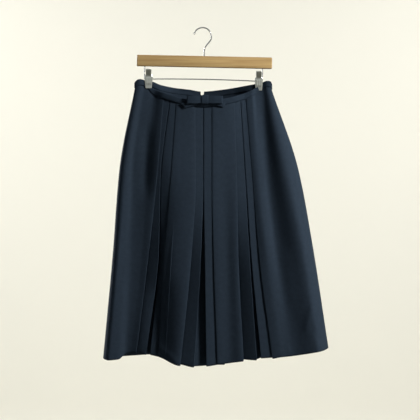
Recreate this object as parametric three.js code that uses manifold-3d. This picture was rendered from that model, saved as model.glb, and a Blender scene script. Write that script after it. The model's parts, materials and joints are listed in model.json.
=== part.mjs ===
// A pleated midi skirt that hangs by two clips from a wooden hanger.
// Millimetres, +Z up, the front faces -Y. The origin is the inside top of the hanger's hook.
// "Out" is a distance in front of the hanger's middle plane, so y = -out.

import * as THREE from 'three';
import { mergeVertices } from 'three/addons/utils/BufferGeometryUtils.js';
import Module from 'manifold-3d';

const wasm = await Module();
wasm.setup();

// Cloth
const CLOTH = 1.2;              // wall of the skirt
const BAND_WALL = 2.2;          // wall of the doubled waistband
const BAND_HEIGHT = 15;
const SEAM_GAP = 0.3;           // between sewn pieces
const FOLD_PITCH = 1.9;         // from one pleat layer to the next where they are stitched down
const OPEN_PITCH = 4.4;         // the same at the hem
const UNDERLAP = 18;            // how far each hidden pleat fold lies behind the edge that shows
const RELEASE = 0.29;           // share of the length at which the stitched pleats are let go
const OUTER_LIFT = 4;           // how far an outer pleat edge stands forward at the hem
const INNER_LIFT = 11;          // the same for the two edges that meet in the middle of a pleat
const FRONT_ROWS = [0, 0.1, 0.2, RELEASE, 0.36, 0.44, 0.52, 0.6, 0.7, 0.8, 0.9, 1];
const BACK_ROWS = [0, 0.1, 0.2, RELEASE, 0.4, 0.5, 0.6, 0.7, 0.8, 0.9, 1];
const BACK_HALVES = [                // each half of the back is built in two lengths, a hair apart
  { name: 'upper', from: 0, to: 0.5 },
  { name: 'lower', from: 0.5005, to: 1 },
];
const STATIONS = [0, 0.3, 0.6, 1];   // shares of the length at which the tables below give sizes

// Lines down the plain parts of the front. x and out are given at the four stations; hem is the height there.
const FRONT_LEFT = [
  { name: 'side', x: [-170.5, -209, -225, -250], out: [0, 0, 0, 0], hem: -829 },
  { name: 'side turn', x: [-168.5, -206.5, -222, -246], out: [4, 12, 16, 19], hem: -831 },
  { name: 'ridge', x: [-160, -199, -214, -237], out: [6, 21, 27, 31], hem: -833 },
  { name: 'front step', x: [-153, -186, -197, -211], out: [4, 19, 24, 29], hem: -831 },
  { name: 'valley', x: [-146, -170, -173, -191], out: [1.4, 14, 19, 23], hem: -817 },
  { name: 'shoulder', x: [-125.5, -135, -147, -176], out: [1.5, 19, 23, 26], hem: -815 },
];
const FRONT_RIGHT = [
  { name: 'roll', x: [121, 132, 158, 194], out: [8.5, 45, 50, 49], hem: -823 },
  { name: 'slope', x: [130.5, 148, 171, 208], out: [1.5, 41, 46, 47], hem: -822 },
  { name: 'valley', x: [149.5, 163, 184, 224], out: [1.4, 35, 42, 46], hem: -820 },
  { name: 'ridge', x: [162.5, 203, 244, 286], out: [6, 53, 62, 61], hem: -810 },
  { name: 'side turn', x: [171, 230, 268, 307], out: [4.5, 36, 40, 36], hem: -806 },
  { name: 'side', x: [173.5, 239, 276, 316], out: [0, 0, 0, 0], hem: -803 },
];
const FRONT_MIDDLE = { name: 'panel middle', x: [55, 56, 60, 66], out: [23, 38.5, 49, 52], hem: -839 };

// Pleats: the outer and inner edges that show at the four stations, the drape's depth at the outer edges,
// and the height of the hem at the left edge, the middle and the right edge.
const PLEATS = [
  {
    name: 'left',
    outerLeft: [-98, -113.5, -134, -165], innerLeft: [-83.7, -105.2, -110, -141.5],
    innerRight: [-81.3, -102.8, -107.4, -131.5], outerRight: [-65.5, -79, -95, -110],
    outLeft: [12, 30, 28, 30], outRight: [18.5, 37, 38, 40], hem: [-815, -819, -824],
  },
  {
    name: 'centre',
    outerLeft: [-19, -18, -29, -55], innerLeft: [1, 1, -5, -21],
    innerRight: [3.4, 3.4, 6, 9.5], outerRight: [24, 24, 28, 37],
    outLeft: [24.5, 40, 51, 57], outRight: [24.5, 40, 52, 55], hem: [-845, -847, -843],
  },
  {
    name: 'right',
    outerLeft: [79.5, 85, 89, 102], innerLeft: [93.8, 106, 116.5, 134.5],
    innerRight: [96.2, 108.4, 121, 145.5], outerRight: [109, 125, 140.5, 173.5],
    outLeft: [19.5, 41, 51, 55], outRight: [14, 43, 48, 50], hem: [-833, -829, -824],
  },
];

// Lines down the back, where out counts backwards.
const BACK_LINES = [
  { name: 'left side', x: [-170.5, -209, -225, -250], out: [0, 0, 0, 0], hem: -829 },
  { name: 'left turn', x: [-168.5, -206.5, -222, -246], out: [3, 10, 13, 15], hem: -829 },
  { name: 'left ridge', x: [-158, -196, -210, -233], out: [6, 20, 24, 28], hem: -828 },
  { name: 'left pinch', x: [-146, -175, -187, -207], out: [1.4, 22, 28, 30], hem: -827 },
  { name: 'left hollow', x: [-125, -150, -162, -180], out: [1.5, 25, 30, 30], hem: -825 },
  { name: 'left fullness', x: [-69, -88, -96, -112], out: [22, 36, 43, 45], hem: -822 },
  { name: 'left flute', x: [-32, -38, -42, -50], out: [28, 41, 45, 42], hem: -820 },
  { name: 'centre', x: [-1, 2, 6, 14], out: [31, 43, 49, 51], hem: -820 },
  { name: 'right flute', x: [36, 46, 56, 74], out: [28, 41, 45, 42], hem: -819 },
  { name: 'right fullness', x: [76, 98, 112, 138], out: [20, 37, 44, 46], hem: -817 },
  { name: 'right hollow', x: [133, 156, 178, 206], out: [1.5, 26, 31, 32], hem: -812 },
  { name: 'right pinch', x: [149.5, 184, 212, 246], out: [1.4, 24, 31, 33], hem: -809 },
  { name: 'right ridge', x: [162.5, 212, 248, 284], out: [6, 23, 28, 31], hem: -806 },
  { name: 'right turn', x: [171.5, 234, 271, 310], out: [3, 12, 15, 17], hem: -804 },
  { name: 'right side', x: [173.5, 239, 276, 316], out: [0, 0, 0, 0], hem: -803 },
];

// Heights of the waistbands' top edges. The front sags more than the back between the clips.
const FRONT_TOP = [
  { x: -170.5, top: -136 }, { x: -166, top: -131 }, { x: -158, top: -128 }, { x: -146, top: -131 },
  { x: -136, top: -138 }, { x: -125.5, top: -151 }, { x: -103.5, top: -160.5 }, { x: -76.5, top: -169.5 },
  { x: -39, top: -179.5 }, { x: 5, top: -184 }, { x: 53, top: -178.5 }, { x: 97, top: -167 },
  { x: 123.5, top: -156 }, { x: 133, top: -150.5 }, { x: 149.5, top: -137 }, { x: 162.5, top: -132.5 },
  { x: 171, top: -134 }, { x: 173.5, top: -140 },
];
const BACK_TOP = [
  { x: -170.5, top: -136 }, { x: -166, top: -131 }, { x: -158, top: -128 }, { x: -146, top: -131 },
  { x: -125, top: -134.5 }, { x: -106.5, top: -142 }, { x: -69, top: -149 }, { x: -32, top: -153 },
  { x: -1, top: -157.5 }, { x: 36, top: -154.5 }, { x: 76, top: -149.5 }, { x: 110, top: -144 },
  { x: 133, top: -140 }, { x: 149.5, top: -137 }, { x: 162.5, top: -132.5 }, { x: 171, top: -134 },
  { x: 173.5, top: -140 },
];
const NOTCH_HALF = 5;           // half the V between the back band's ends, at its top
const NOTCH_DEPTH = 10;

// Bow
const BOW_X = 5.5;
const BOW_Z = -181;
const BOW_HALF = 44.5;
const BOW_HEIGHT = 19;
const BOW_OUT = 27.9;           // middle of the tails, the layer nearest the waistband
const BOW_CLOTH = 1;
const KNOT_WIDTH = 17;
const KNOT_HEIGHT = 22;
const BOW_TAILS = [
  { name: 'left', tip: [-55.7, -190.5], heel: [-44.5, -202.5] },
  { name: 'right', tip: [58, -189], heel: [52.5, -200] },
];

// Zip
const ZIP_LENGTH = 178;
const ZIP_SLIT = 1.7;           // half the opening between the back pieces along the zip
const TAPE_HALF = 11;
const TAPE_WALL = 0.8;
const COIL_HALF = 1.1;
const SLIDER = { width: 7.5, length: 11, plate: 1.2 };
const BAIL = { half: 3, height: 2.9, bar: 0.9, width: 1.2 };
const SLIDER_SHARE = 0.013;     // how far down the back the slider stands
const PULL_STAND = 1.1;         // from the slider's plate to the hinge line
const PULL = { width: 6, length: 22, wall: 0.9, window: 5, windowHalf: 1.3 };

// Waistband's inside hook
const WAIST_HOOK = { x: 6.5, z: -169.5, width: 6, height: 4, wall: 0.7 };

// Hanger
const TILT = 1.19;              // degrees that the bar leans down to the right
const BAR = { x: 4.5, z: -84.6, width: 340, height: 28.8, depth: 12, corner: 3, edge: 1.2 };
const HOOK_WIRE = 1.7;          // radius of the hook's wire
const HOOK_RADIUS = 22;
const HOOK_TIP = 2.5;
const HOOK_ARC = { from: 162, to: -33, step: 15 };
const STEM_X = 4;
const ROD_WIRE = 1.4;
const ROD_DROP = 32;            // from the bar's underside to the rod
const ROD_ENDS = [-145.2, 151];
const ROD_BEND = 3;
const ROD_BOW = 2.5;
const CLIPS = [
  { name: 'left', x: -135.8 },
  { name: 'right', x: 141.3 },
];
const JAW = { wall: 1.1, top: 25, shoulder: 7, foot: -23, topWidth: 13, width: 20, footWidth: 15 };
const JAW_OUT = { top: 11, shoulder: 6, foot: 3.35 };
const LUG = { wall: 1, x: 5.5, grip: 5.3, reach: 3.2, height: 5.6, play: 0.5 };
const SPRING = { radius: 3.1, half: 3.2 };

// Finishes
const NAVY = new THREE.MeshStandardMaterial({ color: 0x28323c, roughness: 0.9, metalness: 0 });
const WOOD = new THREE.MeshStandardMaterial({ color: 0xbb9e69, roughness: 0.45, metalness: 0 });
const STEEL = new THREE.MeshStandardMaterial({ color: 0xc8ccc6, roughness: 0.25, metalness: 1 });
const TAPE = new THREE.MeshStandardMaterial({ color: 0x1c242e, roughness: 0.9, metalness: 0 });

const mix = (a, b, share) => a + (b - a) * share;

// A smooth curve through a few given values, without overshoot between them.
function smooth(places, values, place) {
  const last = places.length - 1;
  const t = Math.min(Math.max(place, places[0]), places[last]);
  let i = 0;
  while (i < last - 1 && t > places[i + 1]) i += 1;
  const slope = (k) => (values[k + 1] - values[k]) / (places[k + 1] - places[k]);
  const tangent = (k) => {
    if (k === 0) return slope(0);
    if (k === last) return slope(last - 1);
    const product = slope(k - 1) * slope(k);
    return product <= 0 ? 0 : (2 * product) / (slope(k - 1) + slope(k));
  };
  const span = places[i + 1] - places[i];
  const s = (t - places[i]) / span;
  const rise = s * s * (3 - 2 * s);
  const curl = s * (1 - s) * (1 - s) * tangent(i) - s * s * (1 - s) * tangent(i + 1);
  return mix(values[i], values[i + 1], rise) + curl * span;
}

const sideName = (side) => (side < 0 ? 'left' : 'right');
const along = (values, share) => smooth(STATIONS, values, share);
const easeIn = (from, to, value) => THREE.MathUtils.smoothstep(value, from, to);
const topHeight = (marks, x) => smooth(marks.map((mark) => mark.x), marks.map((mark) => mark.top), x);
const seamHeight = (marks, x) => topHeight(marks, x) - BAND_HEIGHT - SEAM_GAP;

// A closed geometry from points and triangles, turned so that its faces point outwards.
function solid(points, faces) {
  let volume = 0;
  for (const [a, b, c] of faces) {
    const [p, q, r] = [points[a], points[b], points[c]];
    volume += p[0] * (q[1] * r[2] - q[2] * r[1]);
    volume -= p[1] * (q[0] * r[2] - q[2] * r[0]);
    volume += p[2] * (q[0] * r[1] - q[1] * r[0]);
  }
  const outward = volume > 0 ? faces : faces.map(([a, b, c]) => [a, c, b]);
  const geometry = new THREE.BufferGeometry();
  geometry.setAttribute('position', new THREE.Float32BufferAttribute(points.flat(), 3));
  geometry.setIndex(outward.flat());
  geometry.computeVertexNormals();
  return geometry;
}

// The two sides of a wall along one row of middle points, square to the row in plan, mitred at its corners.
// At a side seam the wall ends straight, so that front and back meet face to face.
function wallSides(row, half, seams) {
  const direction = (a, b) => {
    const length = Math.hypot(b[0] - a[0], b[1] - a[1]);
    return [(b[0] - a[0]) / length, (b[1] - a[1]) / length];
  };
  return row.map((point, i) => {
    const before = direction(row[Math.max(i - 1, 0)], row[Math.max(i, 1)]);
    const after = direction(row[Math.min(i, row.length - 2)], row[Math.min(i + 1, row.length - 1)]);
    const normal = [before[1] + after[1], -before[0] - after[0]];
    const scale = (2 * half) / (normal[0] ** 2 + normal[1] ** 2);
    const atSeam = (i === 0 && seams[0]) || (i === row.length - 1 && seams[1]);
    const [dx, dy] = atSeam ? [Math.sign(normal[0]) * half, 0] : [normal[0] * scale, normal[1] * scale];
    return [[point[0] + dx, point[1] + dy, point[2]], [point[0] - dx, point[1] - dy, point[2]]];
  });
}

// A closed wall through rows of middle points: its two sides and the four rims between them.
// seams says whether the first and the last column are side seams.
function wall(rows, thickness, seams = [false, false]) {
  const sides = rows.map((row) => wallSides(row, thickness / 2, seams));
  const columns = rows[0].length;
  const points = sides.flatMap((row) => row.flat());
  const at = (r, c, side) => (r * columns + c) * 2 + side;
  const faces = [];
  const quad = (a, b, c, d) => faces.push([a, b, c], [a, c, d]);
  for (let r = 0; r < rows.length - 1; r += 1) {
    for (let c = 0; c < columns - 1; c += 1) {
      quad(at(r, c, 0), at(r + 1, c, 0), at(r + 1, c + 1, 0), at(r, c + 1, 0));
      quad(at(r, c, 1), at(r, c + 1, 1), at(r + 1, c + 1, 1), at(r + 1, c, 1));
    }
    quad(at(r, 0, 0), at(r, 0, 1), at(r + 1, 0, 1), at(r + 1, 0, 0));
    const end = columns - 1;
    quad(at(r, end, 0), at(r + 1, end, 0), at(r + 1, end, 1), at(r, end, 1));
  }
  const bottom = rows.length - 1;
  for (let c = 0; c < columns - 1; c += 1) {
    quad(at(0, c, 0), at(0, c + 1, 0), at(0, c + 1, 1), at(0, c, 1));
    quad(at(bottom, c, 0), at(bottom, c, 1), at(bottom, c + 1, 1), at(bottom, c + 1, 0));
  }
  return solid(points, faces);
}

function mesh(name, geometry, material) {
  const piece = new THREE.Mesh(geometry, material);
  piece.name = name;
  return piece;
}

// Lines between two neighbours, which round the drape between them.
function between(a, b, count) {
  const lines = [];
  for (let k = 1; k <= count; k += 1) {
    const share = k / (count + 1);
    lines.push({ x: a.x.map((value, i) => mix(value, b.x[i], share)), layer: 0, lift: 0 });
  }
  return lines;
}

// Every fold of one pleat from left to right: its path, its layer counted from the front, and its lift.
function pleatFolds(pleat) {
  const shifted = (path, by) => path.map((value) => value + by);
  const fold = (path, layers, lift) => layers.map((layer) => ({ x: path, layer, lift }));
  return [
    ...fold(pleat.outerLeft, [0, 1], OUTER_LIFT),
    ...fold(shifted(pleat.outerLeft, -UNDERLAP), [1, 2], 0),
    ...fold(pleat.innerLeft, [2, 3], INNER_LIFT),
    ...fold(shifted(pleat.innerLeft, -UNDERLAP), [3, 4], 0),
    ...fold(shifted(pleat.innerRight, UNDERLAP), [4, 3], 0),
    ...fold(pleat.innerRight, [3, 2], INNER_LIFT),
    ...fold(shifted(pleat.outerRight, UNDERLAP), [2, 1], 0),
    ...fold(pleat.outerRight, [1, 0], OUTER_LIFT),
  ];
}

// The lines that carry the drape's depth, from the left side to the right.
function drapeLines() {
  const edges = PLEATS.map((pleat) => [
    { x: pleat.outerLeft, out: pleat.outLeft, hem: pleat.hem[0] },
    { x: pleat.outerRight, out: pleat.outRight, hem: pleat.hem[2] },
  ]);
  return [...FRONT_LEFT, ...edges[0], ...edges[1], FRONT_MIDDLE, ...edges[2], ...FRONT_RIGHT];
}

// The height of the front's hem at a place across it.
function frontHem(x) {
  const marks = [
    ...FRONT_LEFT.map((line) => [line.x[3], line.hem]),
    ...PLEATS.flatMap((pleat) => [
      [pleat.outerLeft[3], pleat.hem[0]], [pleat.innerLeft[3], pleat.hem[1]], [pleat.outerRight[3], pleat.hem[2]],
    ]),
    ...FRONT_RIGHT.map((line) => [line.x[3], line.hem]),
  ];
  return smooth(marks.map((mark) => mark[0]), marks.map((mark) => mark[1]), x);
}

// How far the front stands out at a place across it, before its pleats' layers.
function frontDepth(x, share) {
  const drape = drapeLines();
  return smooth(drape.map((line) => along(line.x, share)), drape.map((line) => along(line.out, share)), x);
}

// One point of the front at a share of its length down from the waistband.
function frontPoint(line, share) {
  const x = along(line.x, share);
  const depth = frontDepth(x, share);
  const open = easeIn(RELEASE, 1, share);
  const pitch = mix(FOLD_PITCH, OPEN_PITCH, open);
  const out = depth + line.lift * open - line.layer * pitch;
  const z = mix(seamHeight(FRONT_TOP, line.x[0]), frontHem(line.x[3]), share);
  return [x, -out, z];
}

function frontLines() {
  const plain = (line) => ({ ...line, layer: 0, lift: 0 });
  const [first, second, third] = PLEATS.map(pleatFolds);
  const chain = (lines, count) => lines.flatMap((line, i) => (
    i === 0 ? [plain(line)] : [...between(lines[i - 1], line, count), plain(line)]
  ));
  return [
    ...chain(FRONT_LEFT, 1), ...between(FRONT_LEFT.at(-1), first[0], 2), ...first,
    ...between(first.at(-1), second[0], 3), ...second,
    ...between(second.at(-1), third[0], 3), ...third,
    ...between(third.at(-1), FRONT_RIGHT[0], 1), ...chain(FRONT_RIGHT, 1),
  ];
}

function buildFront() {
  const lines = frontLines();
  const rows = FRONT_ROWS.map((share) => lines.map((line) => frontPoint(line, share)));
  return mesh('front_panel', wall(rows, CLOTH, [true, true]), NAVY);
}

// The paths of the back's columns on one side of its centre seam, from left to right.
function backPaths(side) {
  const centre = BACK_LINES.findIndex((line) => line.name === 'centre');
  const half = side < 0 ? BACK_LINES.slice(0, centre + 1) : BACK_LINES.slice(centre);
  return half.flatMap((line, i) => (
    i === 0 ? [line.x] : [...between(half[i - 1], line, 1).map((extra) => extra.x), line.x]
  ));
}

function backDepth(x, share) {
  const places = BACK_LINES.map((line) => along(line.x, share));
  return smooth(places, BACK_LINES.map((line) => along(line.out, share)), x);
}

function backHem(x) {
  return smooth(BACK_LINES.map((line) => line.x[3]), BACK_LINES.map((line) => line.hem), x);
}

// One row of the back, its inner end moved off the centre line, its outer end clear of the front.
function backRow(paths, share, side, parted) {
  const inner = side < 0 ? paths.length - 1 : 0;
  const outer = side < 0 ? 0 : paths.length - 1;
  return paths.map((path, i) => {
    const x = along(path, share);
    const z = mix(seamHeight(BACK_TOP, path[0]), backHem(path[3]), share);
    if (i === outer) return [x, SEAM_GAP, z];
    return [x + (i === inner ? side * parted : 0), backDepth(x, share), z];
  });
}

// Half of the gap at the centre back: wide along the zip, then only a seam.
function slitHalf(share) {
  return mix(ZIP_SLIT, SEAM_GAP / 2, easeIn(RELEASE - 0.01, RELEASE + 0.03, share));
}

function buildBack(side) {
  const paths = backPaths(side);
  return BACK_HALVES.map(({ name, from, to }) => {
    const shares = [from, ...BACK_ROWS.filter((share) => share > from + 0.01 && share < to - 0.01), to];
    const rows = shares.map((share) => backRow(paths, share, side, slitHalf(share)));
    return mesh(`back_panel_${sideName(side)}_${name}`, wall(rows, CLOTH, [side < 0, side > 0]), NAVY);
  });
}

// A waistband follows the outer layer of the panel sewn below it.
function buildFrontBand() {
  const places = frontLines().filter((line) => line.layer === 0).map((line) => line.x[0]);
  const rows = [0, BAND_HEIGHT].map((drop) => places.map((x) => (
    [x, -frontDepth(x, 0), topHeight(FRONT_TOP, x) - drop]
  )));
  return mesh('front_waistband', wall(rows, BAND_WALL, [true, true]), NAVY);
}

// Half of the back waistband: its end leans away from the other's to leave the V over the zip.
function buildBackBand(side) {
  const paths = backPaths(side);
  const rows = [0, NOTCH_DEPTH, BAND_HEIGHT].map((drop) => {
    const parted = Math.max(NOTCH_HALF * (1 - drop / NOTCH_DEPTH), SEAM_GAP);
    return backRow(paths, 0, side, parted).map(([x, y], i) => (
      [x, y, topHeight(BACK_TOP, paths[i][0]) - drop]
    ));
  });
  return mesh(`back_waistband_${sideName(side)}`, wall(rows, BAND_WALL, [side < 0, side > 0]), NAVY);
}

// One loop of the bow: a flat band that runs out, turns round and comes back.
function buildLoop(side) {
  const near = side * SEAM_GAP;
  const reach = side * (BOW_HALF - 1);
  const path = [
    [near, 1.9], [side * 12, 1.9], [side * 26, 1.8], [reach, 1.7], [side * BOW_HALF, 3.4],
    [reach, 6.3], [side * 26, 6.4], [side * 12, 4.5], [near, 4.1],
  ];
  const rows = [BOW_HEIGHT / 2, -BOW_HEIGHT / 2].map((dz) => (
    path.map(([dx, out]) => [BOW_X + dx, -(BOW_OUT + out), BOW_Z + dz])
  ));
  return mesh(`bow_loop_${sideName(side)}`, wall(rows, BOW_CLOTH), NAVY);
}

// One tail: it slants down from the knot behind its loop and follows the waistband round.
function buildTail(tail) {
  const side = Math.sign(tail.tip[0]);
  const start = [BOW_X + side * SEAM_GAP, BOW_Z + 6, BOW_Z - 6.5];
  const shares = [0, 0.35, 0.7, 1];
  const row = (end, height) => shares.map((share) => {
    const x = mix(start[0], end[0], share);
    const follow = frontDepth(BOW_X, 0) - frontDepth(x, 0);
    return [x, -(BOW_OUT - 0.7 * follow), mix(height, end[1], share)];
  });
  return mesh(`bow_tail_${tail.name}`, wall([row(tail.tip, start[1]), row(tail.heel, start[2])], BOW_CLOTH), NAVY);
}

// Turns a shape drawn in x and y, pushed out along z, so that x is drawn along one axis and y along another.
function stand(geometry, along, up) {
  const across = new THREE.Vector3().crossVectors(along, up);
  return geometry.applyMatrix4(new THREE.Matrix4().makeBasis(along, up, across));
}

const RIGHT = new THREE.Vector3(1, 0, 0);
const FORWARD = new THREE.Vector3(0, -1, 0);
const BACKWARD = new THREE.Vector3(0, 1, 0);
const UP = new THREE.Vector3(0, 0, 1);
const outlineOf = (points) => points.map(([u, v]) => new THREE.Vector2(u, v));

// The knot: a short band wrapped round the loops and tails.
function buildKnot() {
  const hole = { back: BOW_OUT - 1.1, front: BOW_OUT + 5.3, half: BOW_HEIGHT / 2 + 0.5 };
  const half = KNOT_HEIGHT / 2;
  const wrap = 0.8;
  const outline = new THREE.Shape(outlineOf([
    [hole.back - wrap, -half], [hole.front + wrap, -half], [hole.front + 1.6 * wrap, 0],
    [hole.front + wrap, half], [hole.back - wrap, half],
  ]));
  outline.holes.push(new THREE.Path(outlineOf([
    [hole.back, -hole.half], [hole.back, hole.half], [hole.front, hole.half], [hole.front, -hole.half],
  ])));
  const geometry = new THREE.ExtrudeGeometry(outline, { depth: KNOT_WIDTH, bevelEnabled: false });
  stand(geometry, FORWARD, UP);
  geometry.translate(BOW_X + KNOT_WIDTH / 2, 0, BOW_Z);
  return mesh('bow_knot', geometry, NAVY);
}

function buildBow() {
  const bow = new THREE.Group();
  bow.add(buildLoop(-1), buildLoop(1), buildKnot(), ...BOW_TAILS.map(buildTail));
  return bow;
}

// A solid that can be joined and cut.
function toManifold(geometry) {
  const bare = geometry.clone();
  bare.deleteAttribute('normal');
  bare.deleteAttribute('uv');
  const merged = mergeVertices(bare, 1e-5);
  return new wasm.Manifold(new wasm.Mesh({
    numProp: 3,
    vertProperties: new Float32Array(merged.attributes.position.array),
    triVerts: new Uint32Array(merged.index.array),
  }));
}

function fromManifold(body) {
  const result = body.getMesh();
  const geometry = new THREE.BufferGeometry();
  geometry.setAttribute('position', new THREE.BufferAttribute(new Float32Array(result.vertProperties), 3));
  geometry.setIndex(new THREE.BufferAttribute(new Uint32Array(result.triVerts), 1));
  geometry.computeVertexNormals();
  return geometry;
}

function block(width, depth, height, x, y, z) {
  return new THREE.BoxGeometry(width, depth, height).translate(x, y, z);
}

// A place beside the centre back seam at a share of its length, on the flat between the back's own points.
function centreBack(share, aside = 0) {
  const path = BACK_LINES.find((line) => line.name === 'centre').x;
  const beside = aside < 0 ? backPaths(-1).at(-2) : backPaths(1)[1];
  const row = BACK_ROWS.findIndex((value) => value > share) - 1;
  const [from, to] = [BACK_ROWS[row], BACK_ROWS[row + 1]];
  const part = (share - from) / (to - from);
  const depth = (at) => {
    const [middle, next] = [along(path, at), along(beside, at)];
    const reach = Math.max(Math.abs(aside) - ZIP_SLIT, 0) / (Math.abs(next - middle) - ZIP_SLIT);
    return mix(backDepth(middle, at), backDepth(next, at), reach);
  };
  const length = seamHeight(BACK_TOP, path[0]) - backHem(path[3]);
  return {
    x: mix(along(path, from), along(path, to), part) + aside,
    y: mix(depth(from), depth(to), part),
    z: seamHeight(BACK_TOP, path[0]) - share * length,
    slope: (depth(to) - depth(from)) / ((to - from) * length),
  };
}

// A strip that runs down the zip at a distance behind the skirt's wall.
function zipStrip(halfWidth, offset, thickness) {
  const end = ZIP_LENGTH / (seamHeight(BACK_TOP, -1) - backHem(14));
  const shares = [0.002, ...BACK_ROWS.filter((share) => share > 0.002 && share < end), end];
  const rows = shares.map((share) => [-halfWidth, 0, halfWidth].map((aside) => {
    const at = centreBack(share, aside);
    return [at.x, at.y + offset, at.z];
  }));
  return wall(rows, thickness);
}

const TAPE_OFFSET = -(CLOTH / 2 + SEAM_GAP + TAPE_WALL / 2);
const COIL_INNER = -CLOTH / 2;
const COIL_OUTER = COIL_INNER + 1.4;

// The slider's plate with the bail that holds the pull tab. It is drawn flat, with the cloth behind it.
function buildSlider() {
  const plate = block(SLIDER.width, SLIDER.plate, SLIDER.length, 0, SLIDER.plate / 2, 0);
  const { half, height, bar, width } = BAIL;
  const foot = SLIDER.plate / 2;
  const top = SLIDER.plate + height;
  const arch = new THREE.Shape(outlineOf([
    [foot, -half], [top - bar, -half], [top, -half + bar], [top, half - bar], [top - bar, half],
    [foot, half], [foot, half - bar], [top - bar, half - bar], [top - bar, bar - half], [foot, bar - half],
  ]));
  const bail = new THREE.ExtrudeGeometry(arch, { depth: width, bevelEnabled: false });
  stand(bail, BACKWARD, UP).translate(-width / 2, 0, 0);
  return mesh('zip_slider', fromManifold(toManifold(plate).add(toManifold(bail))), STEEL);
}

// The pull tab hangs from the bail by the bar above its window. Its hinge line is its own origin.
function buildPull() {
  const { width, length, wall: thick, window: opening, windowHalf } = PULL;
  const half = width / 2;
  const outline = new THREE.Shape(outlineOf([
    [-windowHalf - 0.9, 0.55], [-half, -opening - 1], [-half, 2 - length], [1.2 - half, 0.6 - length],
    [half - 1.2, 0.6 - length], [half, 2 - length], [half, -opening - 1], [windowHalf + 0.9, 0.55],
  ]));
  outline.holes.push(new THREE.Path(outlineOf([
    [-windowHalf, -0.5], [windowHalf, -0.5], [windowHalf, -opening], [-windowHalf, -opening],
  ])));
  const geometry = new THREE.ExtrudeGeometry(outline, { depth: thick, bevelEnabled: false });
  stand(geometry, RIGHT, UP).translate(0, thick / 2, 0);
  return mesh('zip_pull_tab', geometry, STEEL);
}

function buildZip() {
  const zip = new THREE.Group();
  zip.add(mesh('zip_tape', zipStrip(TAPE_HALF, TAPE_OFFSET, TAPE_WALL), TAPE));
  const coilMiddle = (COIL_INNER + COIL_OUTER) / 2;
  zip.add(mesh('zip_coil', zipStrip(COIL_HALF, coilMiddle, COIL_OUTER - COIL_INNER), TAPE));
  const at = centreBack(SLIDER_SHARE);
  const head = new THREE.Group();
  head.position.set(at.x, at.y + COIL_OUTER + SEAM_GAP, at.z);
  head.rotation.x = Math.atan(at.slope);
  const pull = buildPull();
  pull.position.y = SLIDER.plate + PULL_STAND;
  head.add(buildSlider(), pull);
  zip.add(head);
  return zip;
}

// The metal hook sewn inside the right end of the back waistband: a strip folded back on itself.
function buildWaistHook() {
  const { x, z, width, height, wall: thick } = WAIST_HOOK;
  const y = backDepth(x + width, 0) - BAND_WALL / 2 - SEAM_GAP - thick / 2;
  const path = [[x + width / 2, y], [x - width / 2, y], [x - width / 2, y - 1.5], [x + width / 4, y - 1.5]];
  const rows = [height / 2, -height / 2].map((dz) => path.map(([px, py]) => [px, py, z + dz]));
  return mesh('waist_hook', wall(rows, thick), STEEL);
}

// A round wire along a smooth line through points.
function wire(points, radius, steps, sides) {
  const path = new THREE.CatmullRomCurve3(points.map(([x, z]) => new THREE.Vector3(x, 0, z)));
  const circle = [];
  for (let k = 0; k < sides; k += 1) {
    const angle = (2 * Math.PI * k) / sides;
    circle.push(new THREE.Vector2(radius * Math.cos(angle), radius * Math.sin(angle)));
  }
  return new THREE.ExtrudeGeometry(new THREE.Shape(circle), { steps, extrudePath: path });
}

// The hook: round from its tip over the top, then straight down to a short upright stem.
function buildHook() {
  const centre = HOOK_WIRE - HOOK_RADIUS;
  const points = [];
  for (let angle = HOOK_ARC.from; angle >= HOOK_ARC.to; angle -= HOOK_ARC.step) {
    const turn = THREE.MathUtils.degToRad(angle);
    points.push([HOOK_RADIUS * Math.cos(turn), centre + HOOK_RADIUS * Math.sin(turn)]);
  }
  const barTop = BAR.z + BAR.height / 2 + SEAM_GAP;
  points.push([7.5, -46], [STEM_X + 0.9, -51.5], [STEM_X, -57], [STEM_X, (barTop - 57) / 2], [STEM_X, barTop]);
  const tip = new THREE.SphereGeometry(HOOK_TIP, 10, 8).translate(points[0][0], 0, points[0][1]);
  const body = toManifold(wire(points, HOOK_WIRE, 46, 8)).add(toManifold(tip));
  return mesh('hanger_hook', fromManifold(body), STEEL);
}

function buildBar() {
  const { width, height, depth, corner, edge } = BAR;
  const [x, z] = [width / 2, height / 2];
  const outline = new THREE.Shape();
  outline.moveTo(corner - x, -z);
  outline.lineTo(x - corner, -z);
  outline.absarc(x - corner, corner - z, corner, -Math.PI / 2, 0);
  outline.lineTo(x, z - corner);
  outline.absarc(x - corner, z - corner, corner, 0, Math.PI / 2);
  outline.lineTo(corner - x, z);
  outline.absarc(corner - x, z - corner, corner, Math.PI / 2, Math.PI);
  outline.lineTo(-x, corner - z);
  outline.absarc(corner - x, corner - z, corner, Math.PI, 1.5 * Math.PI);
  const geometry = new THREE.ExtrudeGeometry(outline, {
    depth: depth - 2 * edge, bevelThickness: edge, bevelSize: edge, bevelOffset: -edge, bevelSegments: 1,
    curveSegments: 4,
  });
  stand(geometry, RIGHT, UP).translate(0, depth / 2 - edge, 0);
  return mesh('hanger_bar', geometry, WOOD);
}

// How far the rod bows up at a distance from the bar's middle.
function rodBow(x) {
  return ROD_BOW * (1 - (x / ((ROD_ENDS[1] - ROD_ENDS[0]) / 2)) ** 2);
}

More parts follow.
